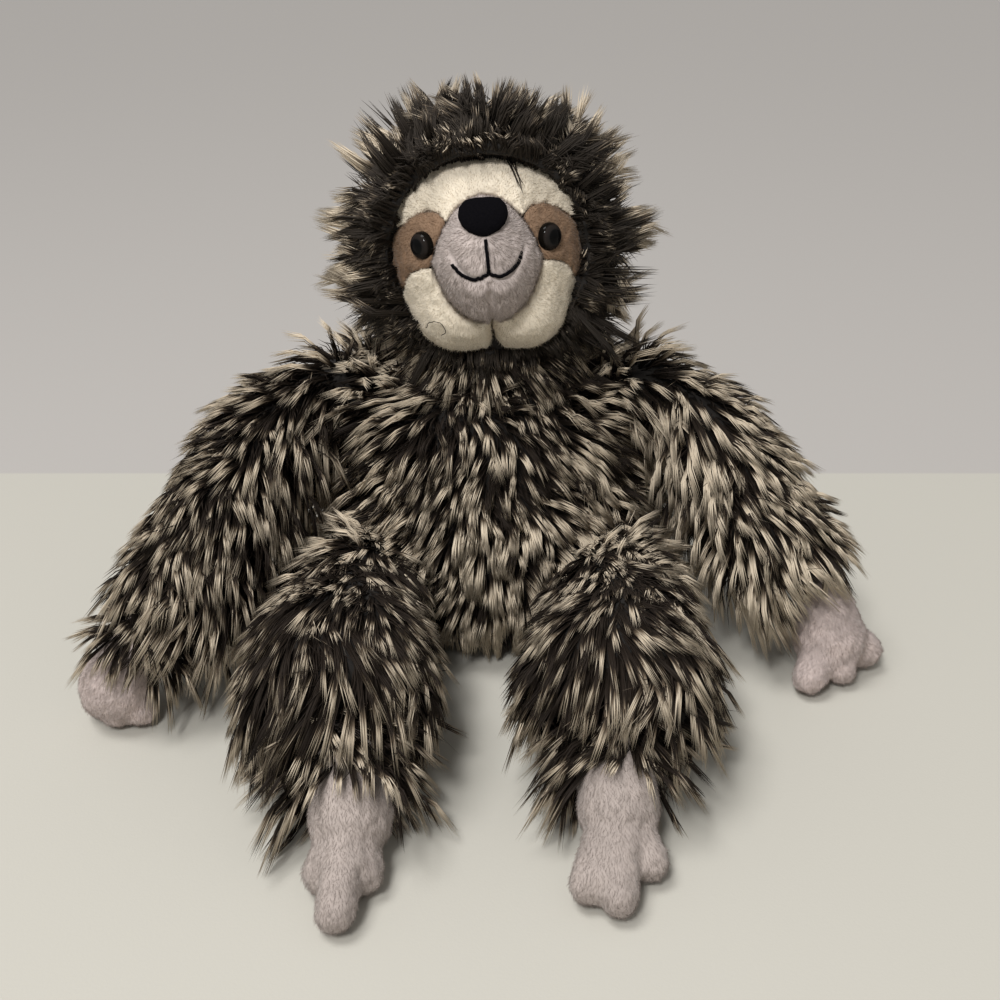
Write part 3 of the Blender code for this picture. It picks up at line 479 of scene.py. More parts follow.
# fibres in a tuft, width of its foot, how far the fibres close up, droop and bend, wandering of
# the comb direction, how far the tufts of a lock lean together, width of a lock, stray of its tips
Tuft = namedtuple("Tuft", "fibres foot close droop bend wander lean lock tilt")
BODY_STYLE = Tuft(fibres=16, foot=0.0015, close=0.24, droop=0.13, bend=0.28, wander=0.34,
                  lean=0.34, lock=0.012, tilt=0.0016)
HEAD_STYLE = Tuft(fibres=23, foot=0.0021, close=0.46, droop=0.05, bend=0.22, wander=0.60,
                  lean=0.62, lock=0.013, tilt=0.0055)
LIMB_STYLE = BODY_STYLE._replace(fibres=13, foot=0.0013, lock=0.010)
RIM_STYLE = Tuft(fibres=7, foot=0.0011, close=0.30, droop=0.04, bend=0.20, wander=0.40,
                 lean=0.40, lock=0.009, tilt=0.0022)
STRAY_STYLE = Tuft(fibres=1, foot=0, close=0, droop=0.22, bend=0.45, wander=1.2,
                   lean=0, lock=0.012, tilt=0.001)


def swirl(points):
    """A slow, smooth wandering of the comb direction over the toy."""
    x, y, z = (points * 190).T
    return np.stack([np.sin(z + 0.7 * y + 1.0) + np.sin(0.61 * x - 0.83 * z),
                     np.sin(x - 0.4 * z + 2.0) + np.sin(0.71 * y + 0.57 * x),
                     np.sin(y + 0.5 * x + 3.0) + np.sin(0.67 * z - 0.45 * x)], 1)


def comb(roots, normals, flow, length, lift, tone, random, style):
    """Fibre lines, widths and tones for tufts with these roots, comb directions and lengths."""
    count = len(roots)
    _, home = np.unique(np.floor(roots / style.lock), axis=0, return_inverse=True)
    home = home.reshape(-1)
    members = np.bincount(home)[:, None]
    middles = np.stack([np.bincount(home, roots[:, axis]) for axis in range(3)], 1) / members
    astray = style.tilt * random.normal(size=(len(members), 3))
    together = (middles[home] - roots) * style.lean + astray[home]
    tone = tone + random.normal(0, LOCK_TONE, len(members))[home]
    length = length * (1 + random.uniform(-LOCK_LENGTH, LOCK_LENGTH, len(members))[home])
    jitter = unit(random.normal(size=(count, 3)))
    lay = along_skin(flow + COMB_JITTER * jitter + style.wander * swirl(roots), normals)
    wide = np.cross(lay, normals)
    size = length * random.uniform(*LENGTHS, count)
    rise = lift * random.uniform(*LIFTS, count)

    def path(share, stretch):
        """Offsets from a root, for shares along the fibre."""
        reach = size[:, None] * stretch
        up = np.sin(rise)[:, None] * (share - style.bend * share ** 2)
        on = np.cos(rise)[:, None] * share * (0.72 + 0.28 * share)
        return (reach[..., None] * (normals[:, None] * up[..., None] + lay[:, None] * on[..., None]
                                    + DOWN * (style.droop * share ** 2)[..., None])
                + together[:, None] * (share ** 1.5)[..., None])

    lines, widths, tones = [], [], []
    for _ in range(style.fibres):
        turn = random.uniform(0, 2 * np.pi, count)
        away = style.foot * np.sqrt(random.random(count))
        start = (wide * (np.cos(turn) * away)[:, None]
                 + lay * (FOOT_FLATNESS * np.sin(turn) * away)[:, None])
        stretch = random.triangular(*STRETCH, count)[:, None]
        body = path(SHARES[None], stretch)
        held = 1 - style.close * SHARES ** 0.8
        loose = random.normal(size=(count, 3)) * LOOSE
        line = (roots[:, None] + body + start[:, None] * held[None, :, None]
                + loose[:, None] * (SHARES ** 1.5)[None, :, None])
        lines.append(line)
        widths.append(np.tile(FIBRE_TAPER * FIBRE_WIDTH, (count, 1))
                      * random.uniform(*FIBRE_WIDTHS, count)[:, None])
        tones.append(np.clip(tone + random.normal(0, FIBRE_TONE, count), *TONES))
    return np.concatenate(lines), np.concatenate(widths), np.concatenate(tones)


# %% [markdown]
# The fur colour: a fibre stays near black up to its last third and then turns beige. How far the
# beige comes down, and how light it gets, depends on the fibre's tone.

# %% Fur material
FUR_DARK = (0.018, 0.012, 0.008)
FUR_MIDDLE = (0.150, 0.112, 0.075)
FUR_LIGHT = (0.625, 0.530, 0.405)
MANE_DARK = (0.032, 0.025, 0.019)
REACH = 0.26
LIMB_REACH = 0.42


def fur_material(name, dark, middle, light, reach=REACH):
    """Dark root and light tip, read from the fibre's own map.

    reach is where the light part starts on the lightest fibres, as a share of their length.
    """
    made, tree, shader = material(name, 0.7, 0.2)
    chart = add_node(tree, "UVMap")
    chart.uv_map = "OFBake"
    split = add_node(tree, "SeparateXYZ")
    start = add_node(tree, "MapRange", From_Min=0.25, From_Max=0.95, To_Min=0.90, To_Max=reach)
    past = add_node(tree, "Math")
    past.operation = "SUBTRACT"
    rise = add_node(tree, "MapRange", From_Min=-0.08, From_Max=0.20)
    rise.interpolation_type = "SMOOTHSTEP"
    level = add_node(tree, "MapRange", From_Min=0.15, From_Max=0.75, To_Min=0.05)
    amount = add_node(tree, "Math")
    amount.operation = "MULTIPLY"
    ramp = ramp_node(tree, (0, dark), (1, light), (0.35, middle))
    join_nodes(tree, (chart.outputs["UV"], split.inputs[0]),
               (split.outputs["Y"], start.inputs["Value"]),
               (split.outputs["X"], past.inputs[0]),
               (start.outputs["Result"], past.inputs[1]),
               (past.outputs[0], rise.inputs["Value"]),
               (split.outputs["Y"], level.inputs["Value"]),
               (rise.outputs["Result"], amount.inputs[0]),
               (level.outputs["Result"], amount.inputs[1]),
               (amount.outputs[0], ramp.inputs["Fac"]),
               (ramp.outputs["Color"], shader.inputs["Base Color"]))
    return made


fur_finish = fur_material("long_pile", FUR_DARK, FUR_MIDDLE, FUR_LIGHT)
mane_finish = fur_material("mane_pile", MANE_DARK, FUR_MIDDLE, FUR_LIGHT)
limb_finish = fur_material("limb_pile", FUR_DARK, FUR_MIDDLE, FUR_LIGHT, LIMB_REACH)
backing = two_tone("fur_backing", "TexVoronoi", 1400, (0.005, 0.004, 0.003),
                   (0.012, 0.009, 0.007), 0.95)[0]
print("fur materials made")

# %% [markdown]
# ## Torso
#
# The body is one pear-shaped bag. Its fur is combed down and a little outward, longest round the
# hem, where it hides the edge of the seat. The pile is split into panels, as the real cover is
# sewn from two front and two back panels.

# %% Fur panels on a skin
DENSITY = 1.0
MOST_FIBRES = 19900                 # a panel with more fibres than this, about 200,000 triangles, is noted
HIGHEST = 0.2272                    # no fibre reaches higher than this

# length, lift and width of a coat's fibres, over those of the tufts
TUFTS = (1, 1, 1)
UNDERCOAT = (0.6, 1.25, 1.15)
STRAYS = (1.08, 1.15, 0.55)
UNDERCOAT_TONE = 0.10
STRAY_SHARE = 0.24                  # how many tufts have a stray hair
STRAY_TONES = (0.1, 0.6)


def dress(skin, body, name, panels, spacing, flow_of, length_of, lift_of, tone_of, allowed,
          undercoat, seed, style=BODY_STYLE, stand_of=None, finish=fur_finish):
    """Covers a skin with tufts and, where asked, an undercoat and strays, in named panels."""
    random = np.random.default_rng(seed)
    spacing = spacing / math.sqrt(DENSITY)
    coats = []

    def coat(roots, normals, shares, tones, coat_style):
        """Adds one coat of fibres."""
        longer, raised, wider = shares
        stand = stand_of(roots, normals) if stand_of else normals
        lines, widths, tones = comb(roots, stand, flow_of(roots, normals),
                                    longer * length_of(roots, normals),
                                    raised * lift_of(roots, normals), tones, random, coat_style)
        coats.append((lines, widths * wider, tones))

    roots, normals = scatter(skin, spacing, allowed, random)
    coat(roots, normals, TUFTS, tone_of(roots, normals, random), style)
    owner = np.tile(np.arange(len(roots)), style.fibres)
    if undercoat:
        below, ways = scatter(skin, spacing * undercoat, allowed, random)
        coat(below, ways, UNDERCOAT, np.full(len(below), UNDERCOAT_TONE),
             style._replace(fibres=1, foot=0, close=0))
        stray = np.flatnonzero(random.random(len(roots)) < STRAY_SHARE)
        coat(roots[stray], normals[stray], STRAYS, random.uniform(*STRAY_TONES, len(stray)),
             STRAY_STYLE._replace(lock=style.lock))
        owner = np.concatenate([owner, np.arange(len(below)) + len(roots), stray])
        roots = np.concatenate([roots, below])
    lines, widths, tones = (np.concatenate(parts) for parts in zip(*coats))
    low = lines[..., 2].max(1) < HIGHEST
    lines, widths, tones, owner = lines[low], widths[low], tones[low], owner[low]
    turn = np.arctan2(roots[:, 0], -roots[:, 1])[owner]
    split_at = [np.quantile(turn, index / len(panels)) for index in range(1, len(panels))]
    home = np.searchsorted(split_at, turn)
    for index, panel in enumerate(panels):
        mine = home == index
        piece = fibre_mesh(name + panel, lines[mine], widths[mine], tones[mine], finish)
        if mine.sum() > MOST_FIBRES:
            print("NOTE", name + panel, "has more fibres than a panel should")
        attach(piece, body)


def fixed(value):
    """A field that is the same everywhere."""
    return lambda roots, normals: np.full(len(roots), value)


def depth(value):
    """The same depth all over a skin."""
    return lambda point: value


def outside_of(skin, margin):
    """A test for points that lie outside another skin by at least a margin."""
    tree = BVHTree.FromObject(skin, bpy.context.evaluated_depsgraph_get())

    def test(spots):
        found = [tree.find_nearest(Vector(spot)) for spot in spots]
        return np.array([(Vector(spot) - hit[0]).dot(hit[1]) > margin
                         for spot, hit in zip(spots, found)], bool)

    return test


# %% Torso skin and fur
PILE_SUNK = 0.0060                  # the skin lies this far inside the frame's cover
SHOULDER_BALL = 0.0178
HIP_BALL = 0.0236
NECK_BALL = 0.0345
NECK = joints["neck_nod"]
seats = [(NECK, NECK_BALL)]
for side in ("left", "right"):
    seats += [(joints[side + "_shoulder"], SHOULDER_BALL), (joints[side + "_hip"], HIP_BALL)]
torso_skin = soft_skin("torso_skin", ["torso_fur_cover", "torso_stuffing", "seat_pellet_bag"], 0.0028,
                       depth(PILE_SUNK), balls=seats)
wear(torso_skin, backing)
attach(torso_skin, "torso")
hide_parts("torso_fur_cover", "torso_stuffing", "seat_pellet_bag")


def torso_flow(roots, normals):
    """Down, fanning out to the sides."""
    out = unit(roots * np.array([1, 1, 0])) * (0.2 + 0.6 * torso_shoulder(roots)[:, None])
    fan = np.clip(roots[:, :1] / 0.045, -1.2, 1.2) * np.array([1.0, 0, 0])
    return out + fan * 0.85 + DOWN


def torso_beside(roots):
    """One at the toy's sides, none in its middle."""
    return climb(np.abs(roots[:, 0]), 0.028, 0.018)


def torso_shoulder(roots):
    """One on the shoulders, none below them."""
    return torso_beside(roots) * climb(roots[:, 2], 0.075, 0.015)


def beside_neck(roots):
    """One where the shoulders meet the neck, none elsewhere."""
    aside = np.clip(1.4 - np.abs(np.abs(roots[:, 0]) - 0.045) / 0.016, 0, 1)
    return aside * climb(roots[:, 2], 0.088, 0.010)


def torso_length(roots, normals):
    """Shorter at the seat, longest at the sides, where the arms and legs join, and at the neck."""
    long = 0.0175 + 0.0100 * torso_beside(roots) + 0.0125 * beside_neck(roots)
    return np.where(roots[:, 2] < 0.012, 0.010, long)


def torso_lift(roots, normals):
    """The pile stands up more at the sides, lies flat on the shoulders and rises beside the neck."""
    return np.radians(44 + 8 * torso_beside(roots) - 12 * torso_shoulder(roots)
                      + 32 * beside_neck(roots))


def tuft_tone(roots, normals, random):
    """Most tufts are light, some stay dark."""
    tone = random.normal(0.76, 0.12, len(roots))
    dark = random.random(len(roots)) < 0.10
    return np.where(dark, random.uniform(0.15, 0.35, len(roots)), tone)


def torso_tone(roots, normals, random):
    """A little lighter low on the belly: painted light that lifts the shade falling there between the
    legs.
    """
    return tuft_tone(roots, normals, random) + 0.28 * np.clip((0.075 - roots[:, 2]) / 0.020, 0, 1)


def torso_allowed(spots, normals):
    """Fur all over, but not under the seat."""
    return normals[:, 2] > -0.8


dress(torso_skin, "torso", "torso_fur_", ["back_right", "front_right", "front_left", "back_left"], 0.0040,
      torso_flow, torso_length, torso_lift, torso_tone, torso_allowed, 0.58, 11)

# %% [markdown]
# ## Head
#
# The hood's pile is longer and stands out all round the face like a mane: dark near the face and
# light at its rim.

# %% Hood skin and fur
FACE_CENTRE = Vector((0, -0.013, 0.1575))
FACE_TILT = math.radians(8)
FACE_ROLL = math.radians(4)


def face_matrix():
    """The face's own frame: X across, Y up the face and Z straight out of it."""
    out = Vector((0, -math.cos(FACE_TILT), math.sin(FACE_TILT)))
    level_up = Vector((0, math.sin(FACE_TILT), math.cos(FACE_TILT)))
    across = Vector((math.cos(FACE_ROLL), 0, 0)) + level_up * math.sin(FACE_ROLL)
    up = out.cross(across)
    return Matrix.Translation(FACE_CENTRE) @ Matrix((across, up, out)).transposed().to_4x4()


FACE = face_matrix()
FACE_INVERSE = np.array(FACE.inverted())
FACE_OUT = np.array(FACE.to_3x3() @ Vector((0, 0, 1)))


def in_face(points):
    """Points in the face's frame."""
    return points @ FACE_INVERSE[:3, :3].T + FACE_INVERSE[:3, 3]


out_of_torso = outside_of(torso_skin, 0.0)
HOOD_SUNK = 0.0095
RIM_SUNK = 0.0030
FACE_EDGE = 0.034


def hood_depth(point):
    """Shallow under the face and at its edge, deeper under the long pile."""
    local = FACE.inverted() @ point
    if local.z < -0.004:
        return HOOD_SUNK
    share = min(max((math.hypot(local.x, local.y) - FACE_EDGE) / 0.014, 0), 1)
    return RIM_SUNK + (HOOD_SUNK - RIM_SUNK) * share


FACE_NODES = ["forehead_panel", "cheek_left", "cheek_right", "eye_patch_left", "eye_patch_right"]
hood_skin = soft_skin("hood_skin", ["hood_fur_cover", "head_stuffing"] + FACE_NODES, 0.0028, hood_depth,
                      balls=[(NECK, NECK_BALL)])
wear(hood_skin, backing)
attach(hood_skin, "head")
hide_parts("hood_fur_cover", "head_stuffing")


def hood_away(roots):
    """From the face's axis straight out to each root."""
    local = in_face(roots)
    axis = np.array(FACE_CENTRE) + FACE_OUT * local[:, 2:3]
    return unit(roots - axis)


def hood_front(roots):
    """One in front of the head, none behind it."""
    return climb(in_face(roots)[:, 2:3], -0.020, 0.020)


def hood_stand(roots, normals):
    """Round the face the mane stands straight out from the face's axis."""
    front = hood_front(roots)
    return unit(normals * (1 - front) + (hood_away(roots) + FACE_OUT * 0.22) * front)


def hood_low(roots):
    """One below the face's middle, none above it."""
    return np.clip((0.152 - roots[:, 2]) / 0.022, 0, 1)


def hood_side(roots):
    """One at the sides of the head, none in its middle."""
    return climb(np.abs(roots[:, 0]), 0, 0.030)


def hood_behind(roots):
    """One at the back of the head, none in front."""
    return climb(roots[:, 1], 0.004, 0.045)


def hood_flow(roots, normals):
    """Back from the face, and down behind and under the head."""
    behind = climb(roots[:, 1:2], 0, 0.04)
    down = np.maximum(0.9 * behind, 1.1 * hood_low(roots)[:, None])
    return (hood_away(roots) * 0.5 - FACE_OUT) * (1 - 0.6 * behind) + DOWN * down


def hood_lift(roots, normals):
    """The mane stands up round the face and lies flatter at the back."""
    return np.radians(66 - 34 * hood_behind(roots) - 14 * hood_low(roots))


def hood_length(roots, normals):
    """Longer on top, on the toy's left and most below the face's sides, shorter at the back."""
    high = climb(roots[:, 2], 0.165, 0.025)
    left = climb(roots[:, 0], 0, 0.045)
    low = (0.0040 + 0.0060 * hood_side(roots)) * hood_low(roots)
    return 0.0240 - 0.0050 * hood_behind(roots) + 0.0015 * high + 0.0040 * left + low


def hood_tone(roots, normals, random):
    """Darker beside the face and on top, lighter at the sides, most on the toy's right."""
    local = in_face(roots)
    clear = climb(np.linalg.norm(local[:, :2], axis=1), 0.036, 0.010)
    clear = np.where(local[:, 2] > 0, clear, 1)
    tone = tuft_tone(roots, normals, random)
    side = climb(np.abs(local[:, 0]), 0.020, 0.020) * np.where(local[:, 0] < 0, 2.4, 1)
    high = climb(local[:, 1], 0.022, 0.016)
    return tone * (0.44 + 0.54 * clear) + 0.18 * side * clear - 0.14 * high


def hood_allowed(spots, normals):
    """No fur in the face's opening or the neck's seat."""
    local = in_face(spots)
    radius = np.linalg.norm(local[:, :2], axis=1)
    keep = ~((local[:, 2] > -0.002) & (radius < FACE_EDGE + 0.0008))
    return keep & (spots[:, 2] > 0.114) & out_of_torso(spots)


def hood_rim(spots, normals):
    """The narrow band of the hood's skin right round the face."""
    local = in_face(spots)
    radius = np.linalg.norm(local[:, :2], axis=1)
    return (local[:, 2] > -0.010) & (radius > FACE_EDGE - 0.0006) & (radius < FACE_EDGE + 0.0070)


def dark_tone(roots, normals, random):
    """Tufts that stay mostly dark."""
    return random.uniform(0.08, 0.50, len(roots))


def rim_stand(roots, normals):
    """Forward and away from the face."""
    return unit(hood_away(roots) * 0.75 + FACE_OUT * 0.65)


dress(hood_skin, "head", "hood_fur_", ["back_right", "right", "left", "back_left"], 0.0044,
      hood_flow, hood_length, hood_lift, hood_tone, hood_allowed, 0.60, 23,
      HEAD_STYLE, hood_stand, mane_finish)
dress(hood_skin, "head", "hood_rim_fur", [""], 0.0021, hood_flow, fixed(0.0110), fixed(math.radians(74)),
      dark_tone, hood_rim, 0, 24, RIM_STYLE, rim_stand, mane_finish)

# %% [markdown]
# The neck is a short fur collar between the hood and the body. Its fur falls over the chest.

# %% Neck collar
neck_skin = soft_skin("neck_skin", ["neck_fur_collar"], 0.0030, depth(0.0040))
wear(neck_skin, backing)
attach(neck_skin, "neck")
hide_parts("neck_fur_collar")
out_of_hood = outside_of(hood_skin, -0.002)
dress(neck_skin, "neck", "collar_fur", [""], 0.0038, torso_flow, fixed(0.0230), fixed(math.radians(60)),
      tuft_tone, lambda spots, normals: out_of_torso(spots) & out_of_hood(spots), 0.8, 29)

# %% [markdown]
# ## Arms and legs
#
# Each sleeve's fur is combed from its root to its open end, and falls down at the sides. At the
# end it is longer and hangs over the wrist or ankle.

# %% Limb fur
FALL = np.array([0, 0, -0.35])
ROOT_SHARE = 0.30                   # the part of a limb where its fur is longer at the root
SLEEVES = {}
LIMB_TONES = {"left_arm": 0.14, "right_arm": 0.04, "left_leg": -0.06, "right_leg": -0.10}

# the two joints, the skin's depth, the fan of the fur, spacing and length of the tufts, and the
# distance from the end joint that stays bare
Kind = namedtuple("Kind", "start end sunk fan spacing length bare")
KINDS = {
    "arm": Kind("_shoulder", "_wrist", PILE_SUNK, 0, 0.0036, 0.0195, 0.0115),
    "leg": Kind("_hip", "_ankle", 0.0040, 42, 0.0037, 0.0190, 0.0130),
}


def toned(shift):
    """The usual tuft tones, all a little lighter or darker."""
    return lambda roots, normals, random: tuft_tone(roots, normals, random) + shift


def limb_fields(start, end, mid, fan):
    """Comb direction and share along a limb that bends at one middle point."""
    a, m, b = np.array(start), np.array(mid), np.array(end)

    def share_along(roots):
        first = np.clip(((roots - a) @ (m - a)) / ((m - a) @ (m - a)), 0, 1)
        second = np.clip(((roots - m) @ (b - m)) / ((b - m) @ (b - m)), 0, 1.2)
        return first * 0.5 + second * 0.5

    def heading(roots):
        share = np.clip(share_along(roots), 0, 1)[:, None]
        return unit(unit(m - a) * (1 - share) + unit(b - m) * share)

    def flow(roots, normals):
        aside = (roots - (a + (b - a) * 0.5))[:, :1] * np.array([1, 0, 0])
        return heading(roots) + fan * aside + FALL

    return share_along, heading, flow


def build_limb(side, kind, mid, seed, hem_extra, flare):
    """Skin and fur of one arm or leg."""
    body = side + "_" + kind
    cover = body + "_fur_sleeve"
    filling = body + "_stuffing"
    facts = KINDS[kind]
    end = joints[side + facts.end]
    skin = soft_skin(body + "_skin", [cover, filling], 0.0026, depth(facts.sunk))
    wear(skin, backing)
    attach(skin, body)
    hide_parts(cover, filling)
    share_along, heading, flow = limb_fields(joints[side + facts.start], end, mid, facts.fan)
    SLEEVES[body] = flow, outside_of(skin, 0.0)

    def allowed(spots, normals):
        """Not on the end, where the paw or foot sits, and not inside the torso."""
        keep = np.linalg.norm(spots - np.array(end), axis=1) > facts.bare
        facing = (heading(spots) * normals).sum(1)
        keep &= ~((share_along(spots) > 0.8) & (facing > 0.80))
        return keep & out_of_torso(spots)

    def inner(normals):
        """One on the side towards the body."""
        return np.clip(normals[:, 0] * (-1 if side == "left" else 1), 0, 1)

    def near_root(roots):
        """One at the shoulder or hip."""
        return 1 - climb(share_along(roots), 0, ROOT_SHARE)

    def length_of(roots, normals):
        hem = climb(share_along(roots), 0.62, 0.38)
        fuller = 0.35 * near_root(roots) + 0.65 * inner(normals) * (kind == "arm")
        return facts.length * (1 + fuller) + hem_extra * hem

    def lift_of(roots, normals):
        hem = climb(share_along(roots), 0.60, 0.40)
        above = np.clip(normals[:, 2], 0, 1)
        aside = np.clip(1 - 1.4 * above, 0, 1)
        start = 34 + 16 * inner(normals) if kind == "arm" else 36 - 22 * above
        return np.radians(start + 4 * near_root(roots) + hem * (flare * aside - 12 * (1 - aside)))

    dress(skin, body, body + "_fur", [""], facts.spacing, flow, length_of, lift_of,
          toned(LIMB_TONES[body]), allowed, 0.66, seed, LIMB_STYLE,
          finish=fur_finish if body == "left_arm" else limb_finish)


# side, kind, middle of the limb's bend, seed, extra length at the hem and extra lift there
LIMBS = (
    ("left", "arm", (0.108, -0.040, 0.072), 31, 0.0010, 4),
    ("right", "arm", (-0.108, -0.045, 0.070), 37, 0.0080, 2),
    ("left", "leg", (0.048, -0.105, 0.035), 41, 0.0110, 12),
    ("right", "leg", (-0.050, -0.105, 0.035), 43, 0.0140, 12),
)
for limb in LIMBS:
    build_limb(*limb)

# %% [markdown]
# ## Short plush
#
# The face, paws and feet are short plush: a dense nap about 2 mm high that lies along the cloth.
# The cloth itself gets a fine mottled colour, a soft bump for the nap and a sheen that lightens
# its edges. A thin coat of short fibres breaks the outline.

# %% Short plush material
def plush_material(name, colour, spread, scale):
    """Short nap: mottled colour, soft bump and sheen."""
    made, tree, shader = material(name, 0.88)
    shader.inputs["Sheen Weight"].default_value = 0.25
    shader.inputs["Sheen Roughness"].default_value = 0.45
    place = add_node(tree, "TexCoord")
    fine = add_node(tree, "TexNoise", Scale=scale, Detail=3)
    broad = add_node(tree, "TexNoise", Scale=scale / 6, Detail=2)
    both = add_node(tree, "Math")
    both.operation = "MULTIPLY_ADD"
    both.inputs[1].default_value = 0.55
    ramp = ramp_node(tree, (0.62, [c * (1 - spread) for c in colour]),
                     (0.98, [min(c * (1 + spread), 1) for c in colour]))
    join_nodes(tree, (place.outputs["Object"], fine.inputs["Vector"]),
               (place.outputs["Object"], broad.inputs["Vector"]),
               (fine.outputs["Fac"], both.inputs[0]),
               (broad.outputs["Fac"], both.inputs[2]),
               (both.outputs[0], ramp.inputs["Fac"]),
               (ramp.outputs["Color"], shader.inputs["Base Color"]))
    bump_from(tree, shader, fine.outputs["Fac"], 0.7, 0.00035)
    return made


def fuzz_material(name, colour):
    """Short fibres of one colour, a little lighter at the tip."""
    return fur_material(name, colour, colour, [min(c * 1.06, 1) for c in colour])


# colour, how far it varies and the scale of its mottling
PLUSHES = {
    "cream": ((0.725, 0.640, 0.512), 0.07, 420),
    "brown": ((0.230, 0.142, 0.085), 0.18, 420),
    "muzzle": ((0.470, 0.402, 0.372), 0.14, 420),
    "paw": ((0.490, 0.405, 0.375), 0.20, 520),
    "foot": ((0.366, 0.310, 0.280), 0.10, 420),
}
NAP_WIDTH = 0.00028
PAW_NAP_WIDTH = 0.00024
NAP_ROOT = 0.0002                   # a short fibre starts this far inside the cloth
plush, fuzz = {}, {}
for name, (colour, spread, scale) in PLUSHES.items():
    plush[name + "_plush"] = plush_material(name + "_plush", colour, spread, scale)
    fuzz[name + "_plush"] = fuzz_material(name + "_nap", colour)


def nap(skin, body, name, slot, spacing, length, lift, flow_of, seed, allowed=None, width=NAP_WIDTH):
    """A thin coat of short fibres on a short plush piece."""
    random = np.random.default_rng(seed)
    spacing = spacing / math.sqrt(DENSITY)
    everywhere = allowed or (lambda spots, normals: np.ones(len(spots), bool))
    roots, normals = scatter(skin, spacing, everywhere, random)
    lay = along_skin(flow_of(roots, normals) + 0.5 * unit(random.normal(size=roots.shape)), normals)
    size = length * random.uniform(0.7, 1.3, len(roots))
    rise = lift * random.uniform(0.6, 1.4, len(roots))
    tip = roots + size[:, None] * (lay * np.cos(rise)[:, None] + normals * np.sin(rise)[:, None])
    root = roots - normals * NAP_ROOT
    lines = np.stack([root, tip], 1)
    widths = np.tile(np.array([width, 0.0]), (len(roots), 1))
    tones = np.clip(random.normal(0.6, 0.2, len(roots)), 0.05, 0.95)
    piece = fibre_mesh(name, lines, widths, tones, fuzz[slot])
    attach(piece, body)


# %% [markdown]
# Filling rounds a bag from inside. A short cloth simulation with pressure and no gravity does the
# same here. How far each point may move is capped, so that the piece keeps its place and form.

# %% Fill a bag
SWELL_FRAMES = 20
PRESSURE = 30
FACE_CAP = 0.0008                   # the furthest that a point of the face may move
PAW_CAP = 0.0012


def swell(skin, cap, held=None):
    """Blows a closed bag up by a cloth simulation, with a cap, and rounds its net once."""
    scene = bpy.context.scene
    start = [vert.co.copy() for vert in skin.data.vertices]
    filling = skin.modifiers.new("filling", "CLOTH")
    filling.settings.quality = 5
    filling.settings.use_pressure = True
    filling.settings.uniform_pressure_force = PRESSURE
    filling.settings.effector_weights.gravity = 0
    filling.point_cache.frame_start = 1
    filling.point_cache.frame_end = SWELL_FRAMES
    if held:
        group = skin.vertex_groups.new(name="held")
        group.add([vert.index for vert in skin.data.vertices if held(vert.co)], 1.0, "REPLACE")
        filling.settings.vertex_group_mass = "held"
    for step in range(1, SWELL_FRAMES + 1):
        scene.frame_set(step)
    settle(skin)
    furthest = 0.0
    for vert, old in zip(skin.data.vertices, start):
        move = vert.co - old
        furthest = max(furthest, move.length)
        if move.length > cap:
            vert.co = old + move * (cap / move.length)
    scene.frame_set(1)
    skin.vertex_groups.clear()
    print(skin.name, "swells by up to", round(furthest * 1000, 2), "mm, capped at", cap * 1000)
    net = skin.modifiers.new("net", "SUBSURF")
    net.levels = net.render_levels = 1
    settle(skin)
    bpy.ops.object.shade_smooth()


clumps = bpy.data.textures.new("nap_clumps", "CLOUDS")
clumps.noise_scale = 0.0030
clumps.noise_depth = 1


def lumpy(skin, strength, level=0.62):
    """Gives a plush skin the small lumps of a nap that clumps together.

    The lower the level, the more the whole skin grows.
    """
    lumps = skin.modifiers.new("lumps", "DISPLACE")
    lumps.texture = clumps
    lumps.texture_coords = "GLOBAL"
    lumps.strength = strength
    lumps.mid_level = level
    settle(skin)


# %% [markdown]
# ## Face panels
#
# The face is five pieces of short plush sewn edge to edge: a forehead, two leaf-shaped eye
# patches and two cheeks that puff out over the chin. Rounding each panel's edge by itself gives
# the small valleys of the seams.

# %% Face panels
def valley(offset, width):
    """One in the middle of a soft groove or ridge, and less beside it."""
    return math.exp(-(offset / width) ** 2)


def puff(skin, middle, radius, height):
    """Pushes a skin out round one point of the face, as a fuller filling does."""
    for vert in skin.data.vertices:
        local = FACE.inverted() @ vert.co
        if local.z < 0:
            continue
        away = math.hypot(local.x - middle[0], local.y - middle[1]) / radius
        if away < 1:
            share = (1 - away * away) ** 2
            vert.co += (vert.co - FACE_CENTRE).normalized() * height * share


def widen(skin):
    """Draws a panel's outer edge outward, most at the face's upper corners."""
    for vert in skin.data.vertices:
        local = FACE.inverted() @ vert.co
        radius = math.hypot(local.x, local.y)
        share = min(max((radius - 0.026) / 0.008, 0), 1)
        corner = (2 * local.x * local.y / radius ** 2) ** 2 if local.y > 0 else 0
        grow = 1 + share * (0.0010 + 0.0030 * corner) / radius
        local.x *= grow
        local.y *= grow
        vert.co = FACE @ local


def from_face(roots, normals):
    """Comb direction away from the middle of the face."""
    return unit(roots - np.array(FACE_CENTRE) - FACE_OUT * 0.05)


def face_outside(spots, normals):
    """Where a panel is seen: its front and its outer edge."""
    away = np.linalg.norm(spots - np.array(FACE_CENTRE), axis=1)
    return (normals @ FACE_OUT > 0.02) | (away > 0.0355)


CHIN_SEAM = 0.0007                  # place, width and depth of the seam between the cheeks
CHIN_SEAM_WIDTH = 0.0024
CHIN_SEAM_DEPTH = 0.0026

